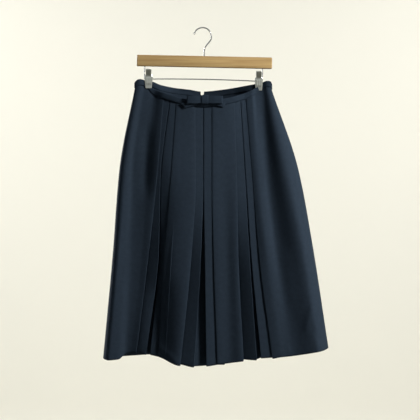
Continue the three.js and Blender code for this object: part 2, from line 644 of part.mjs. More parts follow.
// The rod below the bar, with both ends bent up to it and a slight bow between them.
function buildRod() {
  const [left, right] = ROD_ENDS.map((x) => x - BAR.x);
  const top = -BAR.height / 2 - SEAM_GAP;
  const low = -BAR.height / 2 - ROD_DROP;
  const corner = 0.3 * ROD_BEND;
  const side = (x, inward) => [
    [x, top], [x, (top + low) / 2], [x, low + ROD_BEND], [x + inward * corner, low + corner],
    [x + inward * ROD_BEND, low],
  ];
  const span = [-138, -100, -50, 0, 50, 100, 138].map((x) => [x, low + rodBow(x)]);
  const points = [...side(left, 1), ...span, ...side(right, -1).reverse()];
  return mesh('clip_rod', wire(points, ROD_WIRE, 64, 6), STEEL);
}

// One jaw of a clip, drawn round the rod as its origin. Facing is 1 for the front jaw and -1 for the back.
function buildJaw(name, facing) {
  const levels = [
    [JAW.top, JAW_OUT.top, JAW.topWidth], [JAW.shoulder + 3, JAW_OUT.shoulder + 0.6, JAW.topWidth],
    [JAW.shoulder, JAW_OUT.shoulder, JAW.width], [JAW.foot, JAW_OUT.foot, JAW.footWidth],
  ];
  const rows = levels.map(([z, out, width]) => [-0.5, 0.5].map((k) => [k * width, -facing * out, z]));
  const lugX = facing > 0 ? LUG.x : LUG.x - LUG.wall - SEAM_GAP;
  const depth = LUG.grip + LUG.reach;
  const middle = (-facing * (LUG.grip - LUG.reach)) / 2;
  const lugs = [-lugX, lugX].map((x) => toManifold(block(LUG.wall, depth, LUG.height, x, middle, 0)));
  const bore = new THREE.CylinderGeometry(ROD_WIRE + LUG.play, ROD_WIRE + LUG.play, 2 * JAW.width, 12);
  const body = toManifold(wall(rows, JAW.wall)).add(lugs[0]).add(lugs[1]);
  return mesh(name, fromManifold(body.subtract(toManifold(bore.rotateZ(Math.PI / 2)))), STEEL);
}

function buildClip(clip) {
  const group = new THREE.Group();
  const aside = clip.x - BAR.x;
  const lean = Math.tan(THREE.MathUtils.degToRad(TILT)) * aside;
  group.position.set(clip.x, 0, BAR.z - BAR.height / 2 - ROD_DROP + rodBow(aside) - lean);
  const spring = new THREE.LatheGeometry(outlineOf([
    [ROD_WIRE + SEAM_GAP, -SPRING.half], [SPRING.radius, -SPRING.half], [SPRING.radius, SPRING.half],
    [ROD_WIRE + SEAM_GAP, SPRING.half], [ROD_WIRE + SEAM_GAP, -SPRING.half],
  ]), 12);
  group.add(
    buildJaw(`clip_${clip.name}_front_jaw`, 1), buildJaw(`clip_${clip.name}_back_jaw`, -1),
    mesh(`clip_${clip.name}_spring`, spring.rotateZ(Math.PI / 2), STEEL),
  );
  return group;
}

function buildHanger() {
  const hanger = new THREE.Group();
  const tilted = new THREE.Group();
  tilted.position.set(BAR.x, 0, BAR.z);
  tilted.rotation.y = THREE.MathUtils.degToRad(TILT);
  tilted.add(buildBar(), buildRod());
  hanger.add(tilted, buildHook(), ...CLIPS.map(buildClip));
  return hanger;
}

const part = new THREE.Group();
part.add(buildFront(), ...buildBack(-1), ...buildBack(1));
part.add(buildFrontBand(), buildBackBand(-1), buildBackBand(1));
part.add(buildBow(), buildZip(), buildWaistHook(), buildHanger());

export default part;
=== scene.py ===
"""Look of a pleated midi skirt that hangs by two clips from a wooden hanger.

Sizes are in millimetres, as in the solids, and are turned into metres where a mesh is made.
"Out" is a distance in front of the hanger's middle plane, so y = -out. A share is how far down the
skirt a row of cloth lies: 0 at the waistband's foot and 1 at the hem.
"""

import json
import logging
import math
from collections.abc import Sequence
from dataclasses import dataclass
from enum import Enum
from functools import cache, cached_property

import bmesh
import bpy
from mathutils import Matrix, Vector

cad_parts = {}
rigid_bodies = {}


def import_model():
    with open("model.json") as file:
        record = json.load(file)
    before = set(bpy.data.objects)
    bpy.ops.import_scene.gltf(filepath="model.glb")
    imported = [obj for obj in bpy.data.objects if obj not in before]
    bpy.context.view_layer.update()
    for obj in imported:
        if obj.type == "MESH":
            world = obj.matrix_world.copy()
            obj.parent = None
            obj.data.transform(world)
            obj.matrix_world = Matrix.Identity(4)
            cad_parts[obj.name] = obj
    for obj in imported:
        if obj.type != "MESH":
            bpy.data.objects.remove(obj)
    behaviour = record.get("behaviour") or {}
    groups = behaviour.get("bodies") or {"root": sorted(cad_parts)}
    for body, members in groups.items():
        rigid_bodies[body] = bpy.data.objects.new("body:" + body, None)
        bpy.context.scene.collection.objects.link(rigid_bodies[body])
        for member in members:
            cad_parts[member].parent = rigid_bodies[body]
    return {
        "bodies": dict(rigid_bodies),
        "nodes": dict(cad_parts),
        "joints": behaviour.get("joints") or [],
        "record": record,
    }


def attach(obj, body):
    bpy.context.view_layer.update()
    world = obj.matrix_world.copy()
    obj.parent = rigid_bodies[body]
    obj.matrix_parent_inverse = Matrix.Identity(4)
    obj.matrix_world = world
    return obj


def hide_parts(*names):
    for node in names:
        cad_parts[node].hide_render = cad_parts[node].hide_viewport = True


Flat = tuple[float, float]
Place = tuple[float, float, float]
Path = tuple[float, float, float, float]
Faces = list[tuple[int, ...]]

LOG = logging.getLogger("skirt")
MM = 0.001
# The shares at which a path down the cloth gives its values.
STATIONS = (0.0, 0.3, 0.6, 1.0)
BAND_HEIGHT = 15.0
SEAM_GAP = 0.3
SEAM_DROP = BAND_HEIGHT + SEAM_GAP


class Named(Enum):
    """A choice whose name is a word in the names of the pieces."""

    @property
    def label(self) -> str:
        """The choice's word."""
        return self.name.lower()


class Side(Named):
    """A side of the skirt, seen from the front."""

    LEFT = -1
    RIGHT = 1


class Facing(Named):
    """The way that a piece faces."""

    FRONT = 1
    BACK = -1


class Held(Enum):
    """How a piece of cloth is held on the hanger."""

    HUNG = "hung"
    FOLDED = "folded"


class Body(Enum):
    """A body of the frame that pieces ride on."""

    SKIRT = "skirt"
    ZIP_PULL = "zip_pull"


class Slot(Enum):
    """What a piece is made of, by the frame's word for it."""

    CLOTH = "cloth"
    ZIP_TAPE = "zip_tape"
    PLATED_METAL = "plated_metal"
    WOOD = "wood"
    STEEL = "steel"


@dataclass(frozen=True)
class Line:
    """A line down the cloth: its place and depth at the stations, and the height of the hem there."""

    name: str
    x: Path
    out: Path
    hem: float


@dataclass(frozen=True)
class Pleat:
    """One double inverted box pleat, by the paths of the edges that show.

    strip_hem is the height of the hem at both ends of its left and its right strip, and lifts is how far
    the strips stand forward at the hem, at the four edges from left to right.
    """

    name: str
    outer_left: Path
    inner_left: Path
    inner_right: Path
    outer_right: Path
    out_left: Path
    out_right: Path
    hem: Place
    strip_hem: Path
    lifts: Path

    def edges(self, share: float) -> list[float]:
        """Where the four edges that show cross a row, from left to right."""
        return [along(path, share) for path in
                (self.outer_left, self.inner_left, self.inner_right, self.outer_right)]


@dataclass(frozen=True)
class Crease:
    """A soft trough or ridge between two points of the cloth, given by x and z."""

    start: Flat
    end: Flat
    width: float
    height: float

    def raised(self, x: float, z: float) -> float:
        """How far the crease moves the cloth out at one place.

        Args:
            x: The place across the cloth.
            z: The place's height.

        Returns:
            The distance in millimetres, fading to 0 a little beyond both ends.
        """
        dx, dz = self.end[0] - self.start[0], self.end[1] - self.start[1]
        length = math.hypot(dx, dz)
        t = ((x - self.start[0]) * dx + (z - self.start[1]) * dz) / (length * length)
        across = ((x - self.start[0]) * dz - (z - self.start[1]) * dx) / length
        beyond, within = -0.15, 0.2
        if not beyond < t < 1 - beyond or abs(across) > 3 * self.width:
            return 0.0
        fade = ease(beyond, within, t) * ease(beyond, within, 1 - t)
        return self.height * fade * math.exp(-((across / self.width) ** 2))


FRONT_LEFT = (
    Line("side", (-170.5, -209, -225, -250), (0, 0, 0, 0), -829),
    Line("side turn", (-168.5, -206.5, -222, -246), (4, 12, 16, 19), -831),
    Line("ridge", (-160, -199, -214, -237), (6, 21, 27, 31), -833),
    Line("front step", (-153, -186, -197, -211), (4, 19, 24, 29), -831),
    Line("valley", (-146, -176, -178, -192), (1.4, 14, 19, 23), -817),
    Line("shoulder", (-125.5, -146, -152, -177), (1.5, 18, 22.5, 26), -815),
)
FRONT_RIGHT = (
    Line("roll", (124, 135, 159, 195), (11.5, 46, 60, 60), -823),
    Line("slope", (132, 147, 171, 208), (5, 43.8, 57, 58), -822),
    Line("valley", (149.5, 161, 184, 226), (1.4, 38.5, 51, 57), -820),
    Line("ridge", (162.5, 203, 244, 286), (6, 54, 68, 67), -810),
    Line("side turn", (171, 230, 268, 307), (4.5, 37, 43, 40), -806),
    Line("side", (173.5, 239, 276, 316), (0, 0, 0, 0), -803),
)
FRONT_MIDDLE = Line("panel middle", (55, 56, 60, 66), (23.5, 44.5, 55, 57.5), -839)
PLEATS = (
    Pleat(
        "left",
        (-98, -113.5, -134, -165), (-83.7, -105.2, -110, -141.5),
        (-81.3, -102.8, -107.4, -131.5), (-65.5, -79, -95, -110),
        (13, 31.5, 30.5, 32), (20, 42, 45, 44), (-815, -819, -824),
        (-811, -818.7, -819.5, -824), (0, 8, -3, 0),
    ),
    Pleat(
        "centre",
        (-19, -18, -29, -55), (1, 1, -5, -21),
        (3.4, 3.4, 6, 9.5), (24, 24, 28, 37),
        (24.5, 46, 55, 62), (24.5, 46, 56, 60), (-844.7, -844, -841),
        (-840.7, -847.5, -846, -842), (0, 11, 1.5, 0),
    ),
    Pleat(
        "right",
        (79.5, 85, 89, 102), (93.8, 106, 116.5, 134.5),
        (96.2, 108.4, 121, 145.5), (109, 125, 140.5, 173.5),
        (20, 45.5, 61, 64.5), (12, 44, 57, 60), (-833, -829, -827),
        (-828.2, -829.7, -826.2, -824.2), (0, 16, 0, 0),
    ),
)
BACK_LINES = (
    Line("left side", (-170.5, -209, -225, -250), (0, 0, 0, 0), -829),
    Line("left turn", (-168.5, -206.5, -222, -246), (3, 10, 13, 15), -829),
    Line("left ridge", (-158, -196, -210, -233), (6, 20, 24, 28), -828),
    Line("left pinch", (-146, -175, -187, -207), (1.4, 22, 28, 30), -827),
    Line("left hollow", (-125, -150, -162, -180), (1.5, 25, 30, 30), -825),
    Line("left fullness", (-69, -88, -96, -112), (22, 36, 43, 45), -822),
    Line("left flute", (-32, -38, -42, -50), (28, 41, 45, 42), -820),
    Line("centre", (-1, 2, 6, 14), (31, 43, 49, 51), -820),
    Line("right flute", (36, 46, 56, 74), (28, 41, 45, 42), -819),
    Line("right fullness", (76, 98, 112, 138), (20, 37, 44, 46), -817),
    Line("right hollow", (133, 156, 178, 206), (1.5, 26, 31, 32), -812),
    Line("right pinch", (149.5, 184, 212, 246), (1.4, 24, 31, 33), -809),
    Line("right ridge", (162.5, 212, 248, 284), (6, 23, 28, 31), -806),
    Line("right turn", (171.5, 234, 271, 310), (3, 12, 15, 17), -804),
    Line("right side", (173.5, 239, 276, 316), (0, 0, 0, 0), -803),
)
FRONT_TOP = (
    (-170.5, -136), (-166, -131), (-158, -128), (-146, -131), (-136, -138), (-125.5, -151),
    (-103.5, -160.5), (-76.5, -169.5), (-39, -179.5), (5, -184), (53, -178.5), (97, -167),
    (123.5, -156), (133, -150.5), (149.5, -137), (162.5, -132.5), (171, -134), (173.5, -140),
)
BACK_TOP = (
    (-170.5, -136), (-166, -131), (-158, -128), (-146, -131), (-125, -134.5), (-106.5, -142),
    (-69, -149), (-32, -153), (-1, -157.5), (36, -154.5), (76, -149.5), (110, -144),
    (133, -140), (149.5, -137), (162.5, -132.5), (171, -134), (173.5, -140),
)
FRONT_CREASES = (
    Crease((-98, -400), (-112, -810), 28.0, -6.0),
    Crease((-104, -640), (-108, -850), 36.0, -6.0),
    Crease((-109, -795), (-59, -840), 6.0, 1.6),
    Crease((272, -745), (296, -790), 5.5, -1.5),
    Crease((255, -755), (277, -679), 7.0, 1.8),
    Crease((209, -797), (219, -815), 4.5, 1.2),
    Crease((62, -716), (96, -722), 3.5, 0.5),
    Crease((60, -742), (95, -750), 3.2, 0.45),
    Crease((64, -772), (98, -778), 3.5, 0.5),
    Crease((63, -795), (96, -799), 3.0, 0.4),
    Crease((205, -560), (226, -700), 13.0, 1.2),
    Crease((-139, -250), (-143, -420), 13.0, -3.0),
    Crease((-190, -500), (-206, -640), 14.0, -1.4),
)
BACK_CREASES = (
    Crease((-122, -332), (-52, -342), 9.0, -2.0),
    Crease((48, -346), (132, -336), 9.0, -2.0),
    Crease((-84, -430), (-96, -830), 17.0, 5.0),
    Crease((92, -420), (120, -825), 17.0, 5.0),
    Crease((-205, -768), (-188, -815), 5.5, -1.4),
    Crease((242, -736), (264, -795), 6.0, -1.5),
    Crease((-24, -700), (44, -707), 6.0, 0.7),
    Crease((150, -610), (192, -628), 6.0, 0.8),
    Crease((-150, -360), (-172, -830), 20.0, -5.0),
    Crease((176, -380), (206, -815), 20.0, -5.5),
    Crease((-38, -560), (-44, -835), 15.0, 3.5),
    Crease((50, -560), (62, -835), 15.0, 3.0),
    Crease((-100, -196), (-84, -300), 10.0, -1.4),
    Crease((104, -196), (92, -300), 10.0, -1.4),
)


def mix(a: float, b: float, share: float) -> float:
    """The value at a share of the way from a to b."""
    return a + (b - a) * share


def ease(low: float, high: float, value: float) -> float:
    """A soft step from 0 at low to 1 at high."""
    t = min(max((value - low) / (high - low), 0.0), 1.0)
    return t * t * (3 - 2 * t)


def slope(places: Sequence[float], values: Sequence[float], k: int) -> float:
    """The steepness of the straight line from the k-th value to the next."""
    return (values[k + 1] - values[k]) / (places[k + 1] - places[k])


def tangent(places: Sequence[float], values: Sequence[float], k: int) -> float:
    """The steepness of the smooth curve at its k-th value.

    Args:
        places: Where the values hold, rising.
        values: The value at each place.
        k: Which value.

    Returns:
        The steepness, which is 0 where the values turn.
    """
    last = len(places) - 1
    if k in (0, last):
        return slope(places, values, min(k, last - 1))
    before, after = slope(places, values, k - 1), slope(places, values, k)
    return 2 * before * after / (before + after) if before * after > 0 else 0.0


def smooth(places: Sequence[float], values: Sequence[float], place: float) -> float:
    """A smooth curve through a few given values, without overshoot between them.

    Args:
        places: Where the values hold, rising.
        values: The value at each place.
        place: Where the curve is read; beyond the ends it stays level.

    Returns:
        The curve's value at the place.
    """
    last = len(places) - 1
    t = min(max(place, places[0]), places[last])
    i = 0
    while i < last - 1 and t > places[i + 1]:
        i += 1
    span = places[i + 1] - places[i]
    s = (t - places[i]) / span
    curl = s * (1 - s) * ((1 - s) * tangent(places, values, i) - s * tangent(places, values, i + 1))
    return mix(values[i], values[i + 1], s * s * (3 - 2 * s)) + curl * span


def evenly(first: float, last: float, steps: int) -> list[float]:
    """Even values from the first to the last."""
    return [mix(first, last, k / steps) for k in range(steps + 1)]


def along(path: Path, share: float) -> float:
    """The value of a path at a share of the length down the skirt."""
    return smooth(STATIONS, path, share)


def shifted(path: Path, by: float) -> Path:
    """A path moved sideways."""
    return tuple(value + by for value in path)


def marked(marks: Sequence[Flat], x: float) -> float:
    """The smooth height of a marked edge at x."""
    return smooth([mark[0] for mark in marks], [mark[1] for mark in marks], x)


def crease_height(creases: Sequence[Crease], x: float, z: float) -> float:
    """How far all the creases together move the cloth out at a place on it."""
    return sum(crease.raised(x, z) for crease in creases)


def curve_through(points: Sequence[Flat], steps: int) -> list[Flat]:
    """A rounded line through plan points.

    Args:
        points: The points that it passes.
        steps: How many steps it takes from each one to the next.

    Returns:
        The line's points, ending in the last one given.
    """
    line: list[Flat] = []
    for i in range(len(points) - 1):
        near = (points[max(i - 1, 0)], points[i], points[i + 1], points[min(i + 2, len(points) - 1)])
        for k in range(steps):
            t = k / steps
            line.append(tuple(
                0.5 * (2 * b + (c - a) * t + (2 * a - 5 * b + 4 * c - d) * t ** 2
                       + (3 * b - a - 3 * c + d) * t ** 3)
                for a, b, c, d in zip(*near)
            ))
    return [*line, points[-1]]


def link(name: str, data: bpy.types.ID) -> bpy.types.Object:
    """Puts new data into the scene as an object.

    Args:
        name: The object's name.
        data: Its mesh, curve, lamp or camera.

    Returns:
        The new object, with its origin at the scene's.
    """
    made = bpy.data.objects.new(name, data)
    bpy.context.scene.collection.objects.link(made)
    return made


def new_object(name: str, points: Sequence[Place], faces: Sequence[Sequence[int]],
               soft: bool = True) -> bpy.types.Object:
    """Makes an object from points in millimetres, with its faces turned outwards or all one way.

    Args:
        name: The object's name.
        points: Corner points in millimetres.
        faces: Corner indices of each face.
        soft: Whether the faces are shaded as one soft surface.

    Returns:
        The new object, with its origin at the scene's.
    """
    data = bpy.data.meshes.new(name)
    data.from_pydata([tuple(value * MM for value in point) for point in points], [], faces)
    data.validate()
    work = bmesh.new()
    work.from_mesh(data)
    bmesh.ops.recalc_face_normals(work, faces=work.faces)
    work.to_mesh(data)
    work.free()
    for polygon in data.polygons:
        polygon.use_smooth = soft
    return link(name, data)


def grid_faces(rows: int, columns: int) -> Faces:
    """Faces between the points of a grid that was listed row by row.

    Args:
        rows: How many rows of points there are.
        columns: How many points a row has.

    Returns:
        The corner indices of each face.
    """
    return [
        (r * columns + c, r * columns + c + 1, (r + 1) * columns + c + 1, (r + 1) * columns + c)
        for r in range(rows - 1)
        for c in range(columns - 1)
    ]


def tube_faces(rings: int, sides: int) -> Faces:
    """Faces of a tube that was listed ring by ring, with one over each end.

    Args:
        rings: How many rings of points there are.
        sides: How many points a ring has.

    Returns:
        The corner indices of each face.
    """
    faces: Faces = [
        (r * sides + c, r * sides + (c + 1) % sides, (r + 1) * sides + (c + 1) % sides, (r + 1) * sides + c)
        for r in range(rings - 1)
        for c in range(sides)
    ]
    return [*faces, tuple(range(sides)), tuple((rings - 1) * sides + c for c in range(sides))]


def select_only(*objects: bpy.types.Object) -> None:
    """Deselects everything and then selects the given objects, the first one active.

    Args:
        *objects: What is selected.
    """
    bpy.ops.object.select_all(action="DESELECT")
    for item in objects:
        item.select_set(True)
    bpy.context.view_layer.objects.active = objects[0]


def apply_modifiers(made: bpy.types.Object) -> None:
    """Turns an object's modifiers into mesh.

    Args:
        made: The object.
    """
    select_only(made)
    for name in [modifier.name for modifier in made.modifiers]:
        bpy.ops.object.modifier_apply(modifier=name)


def thicken(made: bpy.types.Object, wall: float, even: bool = False) -> None:
    """Gives a surface its thickness, half of it on each side.

    Args:
        made: The surface.
        wall: The thickness in millimetres.
        even: Whether the thickness is kept round tight folds.
    """
    thick = made.modifiers.new("thickness", "SOLIDIFY")
    thick.thickness = wall * MM
    thick.offset = 0.0
    thick.use_even_offset = even
    apply_modifiers(made)


def soften(made: bpy.types.Object, degrees: float) -> None:
    """Shades an object softly, all but the edges that are sharper than an angle."""
    select_only(made)
    bpy.ops.object.shade_smooth_by_angle(angle=math.radians(degrees))


def lay_uv(made: bpy.types.Object, rows: Sequence[Sequence[Place]]) -> None:
    """Gives a grid its flat coordinates in millimetres, across and down the cloth.

    Args:
        made: The grid's object.
        rows: Its points, row by row.
    """
    columns = len(rows[0])
    flat: list[Flat] = []
    for row in rows:
        run = 0.0
        for c, point in enumerate(row):
            run += math.dist(point, row[c - 1]) if c else 0.0
            flat.append((run, point[2]))
    middle = [flat[r * columns + columns // 2][0] for r in range(len(rows))]
    layer = made.data.uv_layers.new(name="cloth_mm")
    for loop in made.data.loops:
        u, v = flat[loop.vertex_index]
        layer.data[loop.index].uv = (u - middle[loop.vertex_index // columns], v)


def shell(name: str, rows: Sequence[Sequence[Place]], wall: float, finish: "Finish") -> bpy.types.Object:
    """A thin sheet of cloth through rows of middle points.

    Args:
        name: The object's name.
        rows: Rows of points in millimetres, all of one length.
        wall: The cloth's thickness in millimetres.
        finish: Its finish.

    Returns:
        The new object with its thickness applied.
    """
    made = new_object(name, [point for row in rows for point in row], grid_faces(len(rows), len(rows[0])))
    lay_uv(made, rows)
    thicken(made, wall, even=True)
    dress(made, finish)
    return made


def join_as(name: str, objects: Sequence[bpy.types.Object]) -> bpy.types.Object:
    """Joins objects into one whose origin is the scene's.

    Args:
        name: The new object's name.
        objects: What is joined, one or more.

    Returns:
        The joined object.
    """
    select_only(*objects)
    if len(objects) > 1:
        bpy.ops.object.join()
    made = bpy.context.view_layer.objects.active
    made.name = name
    made.data.name = name
    bpy.ops.object.transform_apply(location=True, rotation=True, scale=True)
    return made


def box(size: Place, place: Place, bevel: float = 0.0) -> bpy.types.Object:
    """A box, its edges rounded where a bevel is given.

    Args:
        size: Its width, depth and height in millimetres.
        place: Its middle in millimetres.
        bevel: How far its edges are rounded, in millimetres.

    Returns:
        The new object.
    """
    bpy.ops.object.select_all(action="DESELECT")
    bpy.ops.mesh.primitive_cube_add(size=1, location=tuple(value * MM for value in place))
    made = bpy.context.object
    made.scale = tuple(value * MM for value in size)
    bpy.ops.object.transform_apply(location=False, rotation=False, scale=True)
    if bevel:
        edge = made.modifiers.new("edge", "BEVEL")
        edge.width = bevel * MM
        edge.segments = 2
        apply_modifiers(made)
    return made


def curve_to_mesh(name: str, curve: bpy.types.Curve) -> bpy.types.Object:
    """Turns a curve into a mesh object.

    Args:
        name: The object's name.
        curve: The curve.

    Returns:
        The new object.
    """
    select_only(link(name, curve))
    bpy.ops.object.convert(target="MESH")
    return bpy.context.view_layer.objects.active


def tube(name: str, points: Sequence[Place], radius: float, roundness: int = 4) -> bpy.types.Object:
    """A chromed round wire through points, made from a bevelled curve.

    Args:
        name: The object's name.
        points: Its places in millimetres.
        radius: The wire's radius in millimetres.
        roundness: How finely the wire is rounded.

    Returns:
        The new mesh object.
    """
    data = bpy.data.curves.new(name, "CURVE")
    data.dimensions = "3D"
    data.bevel_depth = radius * MM
    data.bevel_resolution = roundness
    data.use_fill_caps = True
    spline = data.splines.new("POLY")
    spline.points.add(len(points) - 1)
    for point, place in zip(spline.points, points):
        point.co = (*(value * MM for value in place), 1.0)
    made = curve_to_mesh(name, data)
    soften(made, 50)
    dress(made, CHROME)
    return made


def pressed_plate(name: str, outlines: Sequence[Sequence[Flat]], thick: float,
                  edge: float) -> bpy.types.Object:
    """A flat plate with rounded edges, standing in its own x and z.

    Args:
        name: The object's name.
        outlines: Its outline and then its holes, as x and z in millimetres.
        thick: Its thickness in millimetres.
        edge: How far its edges are rounded, in millimetres.

    Returns:
        The new mesh object.
    """
    data = bpy.data.curves.new(name, "CURVE")
    data.dimensions = "2D"
    data.fill_mode = "BOTH"
    data.extrude = (thick / 2 - edge) * MM
    data.bevel_depth = edge * MM
    data.bevel_resolution = 2
    data.offset = -edge * MM
    for outline in outlines:
        spline = data.splines.new("POLY")
        spline.points.add(len(outline) - 1)
        spline.use_cyclic_u = True
        for point, (x, z) in zip(spline.points, outline):
            point.co = (x * MM, z * MM, 0.0, 1.0)
    made = curve_to_mesh(name, data)
    made.data.transform(Matrix.Rotation(math.radians(90), 4, "X"))
    return made


def linear(code: str) -> tuple[float, float, float, float]:
    """Turns an sRGB hex colour into linear values.

    Args:
        code: Six hex digits.

    Returns:
        Red, green, blue and a full alpha.
    """
    parts = [int(code[i:i + 2], 16) / 255 for i in (0, 2, 4)]
    r, g, b = [p / 12.92 if p <= 0.04045 else ((p + 0.055) / 1.055) ** 2.4 for p in parts]
    return (r, g, b, 1.0)


def add_node(tree: bpy.types.NodeTree, kind: str, values: dict[str, float | Place] | None = None,
             links: dict[str, bpy.types.NodeSocket] | None = None, **settings: object) -> bpy.types.Node:
    """Adds a shader node with its settings and links.

    Args:
        tree: The node tree.
        kind: The node's type.
        values: Values set directly on its inputs, by name.
        links: Outputs of other nodes that lead to its inputs, by name.
        **settings: The node's own properties.

    Returns:
        The new node.
    """
    node = tree.nodes.new(kind)
    for key, value in settings.items():
        setattr(node, key, value)
    for key, value in (values or {}).items():
        node.inputs[key].default_value = value
    for key, output in (links or {}).items():
        tree.links.new(output, node.inputs[key])
    return node


@dataclass(frozen=True)
class Finish:
    """A plain surface: its sRGB colour, and how it takes the light."""

    name: str
    color: str
    roughness: float
    metallic: float = 0.0
    specular: float = 0.5
    coat: float = 0.0

    @cache
    def material(self) -> bpy.types.Material:
        """The finish's material, made when it is first asked for.

        Returns:
            The one material that all pieces with this finish share.
        """
        made = bpy.data.materials.new(self.name)
        made.use_nodes = True
        made.diffuse_color = linear(self.color)
        shader = made.node_tree.nodes["Principled BSDF"]
        shader.inputs["Base Color"].default_value = linear(self.color)
        shader.inputs["Roughness"].default_value = self.roughness
        shader.inputs["Metallic"].default_value = self.metallic
        shader.inputs["Specular IOR Level"].default_value = self.specular
        shader.inputs["Coat Weight"].default_value = self.coat
        self.pattern(made.node_tree, shader)
        return made

    def pattern(self, tree: bpy.types.NodeTree, shader: bpy.types.Node) -> None:
        """Adds the finish's pattern. A plain finish has none."""


@dataclass(frozen=True)
class Suiting(Finish):
    """Fine wool-like twill: slanting ribs in low relief, and a soft unevenness of the yarn's shade.

    The ribs are 0.8 mm apart, about twice as coarse as real ones, so that close views show them. The
    uneven places are about 11 mm long. Both run on the cloth's own flat coordinates in millimetres.
    """

    rib: float = 0.805
    rib_relief: float = 0.12
    slub: float = 11.11
    slub_shade: float = 0.08

    def pattern(self, tree: bpy.types.NodeTree, shader: bpy.types.Node) -> None:
        """Adds the twill's ribs and the yarn's slubs.

        Args:
            tree: The material's nodes.
            shader: The node that the pattern leads to.
        """
        # At scale 1 the wave texture has a rib every 0.314 units.
        wave_pitch = 0.314
        flat = add_node(tree, "ShaderNodeTexCoord").outputs["UV"]
        ribs = add_node(tree, "ShaderNodeTexWave",
                        {"Scale": wave_pitch / self.rib, "Distortion": 0.6, "Detail": 1.0},
                        {"Vector": flat}, bands_direction="DIAGONAL")
        slubs = add_node(tree, "ShaderNodeTexNoise",
                         {"Scale": 1 / self.slub, "Detail": 3.0, "Roughness": 0.6}, {"Vector": flat})
        tone = add_node(tree, "ShaderNodeValToRGB", links={"Fac": slubs.outputs["Fac"]})
        dark, light = tone.color_ramp.elements
        dark.position, light.position = 0.3, 0.7
        for element, shade in ((dark, 1 - self.slub_shade), (light, 1 + self.slub_shade)):
            element.color = (*(shade * value for value in linear(self.color)[:3]), 1.0)
        bump = add_node(tree, "ShaderNodeBump", {"Strength": 0.35, "Distance": self.rib_relief * MM},
                        {"Height": ribs.outputs["Fac"]})
        tree.links.new(tone.outputs["Color"], shader.inputs["Base Color"])
        tree.links.new(bump.outputs["Normal"], shader.inputs["Normal"])


@dataclass(frozen=True)
class Beech(Finish):
    """Planed and oiled beech: straight streaks along the bar in two close tones, with a faint grain.

    streaks is how many there are to a metre along, through and up the bar: one is about 143 mm long,
    11 mm deep and 6 mm high.
    """

    dark: str = "a68756"
    light: str = "c2a672"
    streaks: Place = (7.0, 90.0, 170.0)
    relief: float = 0.2

    def pattern(self, tree: bpy.types.NodeTree, shader: bpy.types.Node) -> None:
        """Adds the wood's streaks.

        Args:
            tree: The material's nodes.
            shader: The node that the pattern leads to.
        """
        place = add_node(tree, "ShaderNodeTexCoord")
        stretch = add_node(tree, "ShaderNodeMapping", {"Scale": self.streaks},
                           {"Vector": place.outputs["Object"]})
        grain = add_node(tree, "ShaderNodeTexNoise", {"Scale": 1.0, "Detail": 4.0, "Roughness": 0.55},
                         {"Vector": stretch.outputs["Vector"]})
        tone = add_node(tree, "ShaderNodeValToRGB", links={"Fac": grain.outputs["Fac"]})
        dark, light = tone.color_ramp.elements
        dark.position, light.position = 0.32, 0.7
        dark.color, light.color = linear(self.dark), linear(self.light)
        bump = add_node(tree, "ShaderNodeBump", {"Strength": 0.25, "Distance": self.relief * MM},
                        {"Height": grain.outputs["Fac"]})
        tree.links.new(tone.outputs["Color"], shader.inputs["Base Color"])
        tree.links.new(bump.outputs["Normal"], shader.inputs["Normal"])


# Wool-like suiting is matt, with hardly any gloss, and nearly black where it lies in shade.
SUITING = Suiting("navy suiting", "27323f", 0.88, specular=0.06)
# The band and the bow are of the same cloth, pressed flat and so a touch darker.
BAND_SUITING = Suiting("navy suiting, band", "26313e", 0.88, specular=0.06)
# Sewing thread lies in its own small furrow, so it reads darker than the cloth.
# Navy sewing thread, darkened below the cloth with painted shade for the small furrow that it lies in.
THREAD_WITH_PAINTED_SHADE = Finish("navy thread", "161c26", 0.7, specular=0.2)
# Woven polyester tape and moulded nylon: the teeth have a soft gloss, the tape next to none.
TAPE = Finish("navy zip tape", "1f2733", 0.8)
NYLON = Finish("navy nylon coil", "27303e", 0.35)
# Oiled wood has a low, broad gloss under a thin coat. Its lower chamfers take a darker brown: painted shade,
# for the shade that falls under the bar.
WOOD = Beech("oiled beech", "b98f56", 0.42, coat=0.15)
BEECH_PAINTED_SHADE = Finish("dark edge of the beech", "5d3f22", 0.6)
# Bright plating on wire is nearly a mirror, and on pressed sheet a little duller and warmer.
CHROME = Finish("chromed steel", "a6a8a5", 0.25, metallic=1.0)
SHEET_CHROME = Finish("chromed sheet steel", "b9bcb2", 0.28, metallic=1.0)
# Uncoated paper throws the light back evenly.
PAPER = Finish("pale studio paper", "f6f4ea", 0.95)


def dress(made: bpy.types.Object, finish: Finish) -> None:
    """Gives an object its finish, in place of any that it has."""
    made.data.materials.clear()
    made.data.materials.append(finish.material())


@dataclass(frozen=True)
class Depths:
    """How far out one row of cloth lies, by the places and depths of the lines that cross it."""

    places: list[float]
    outs: list[float]

    def at(self, x: float) -> float:
        """The depth at x."""
        return smooth(self.places, self.outs, x)


@dataclass(frozen=True)
class Drape:
    """How one side of the skirt hangs: the lines that carry its depth, its hem and its top edge."""

    lines: tuple[Line, ...]
    hem: tuple[Flat, ...]
    top: tuple[Flat, ...]

    def row(self, share: float) -> Depths:
        """The depths of one row."""
        return Depths([along(line.x, share) for line in self.lines],
                      [along(line.out, share) for line in self.lines])

    def height(self, x_top: float, x_hem: float, share: float) -> float:
        """The height at a share of the thread that starts at x_top and ends at x_hem."""
        return mix(marked(self.top, x_top) - SEAM_DROP, marked(self.hem, x_hem), share)


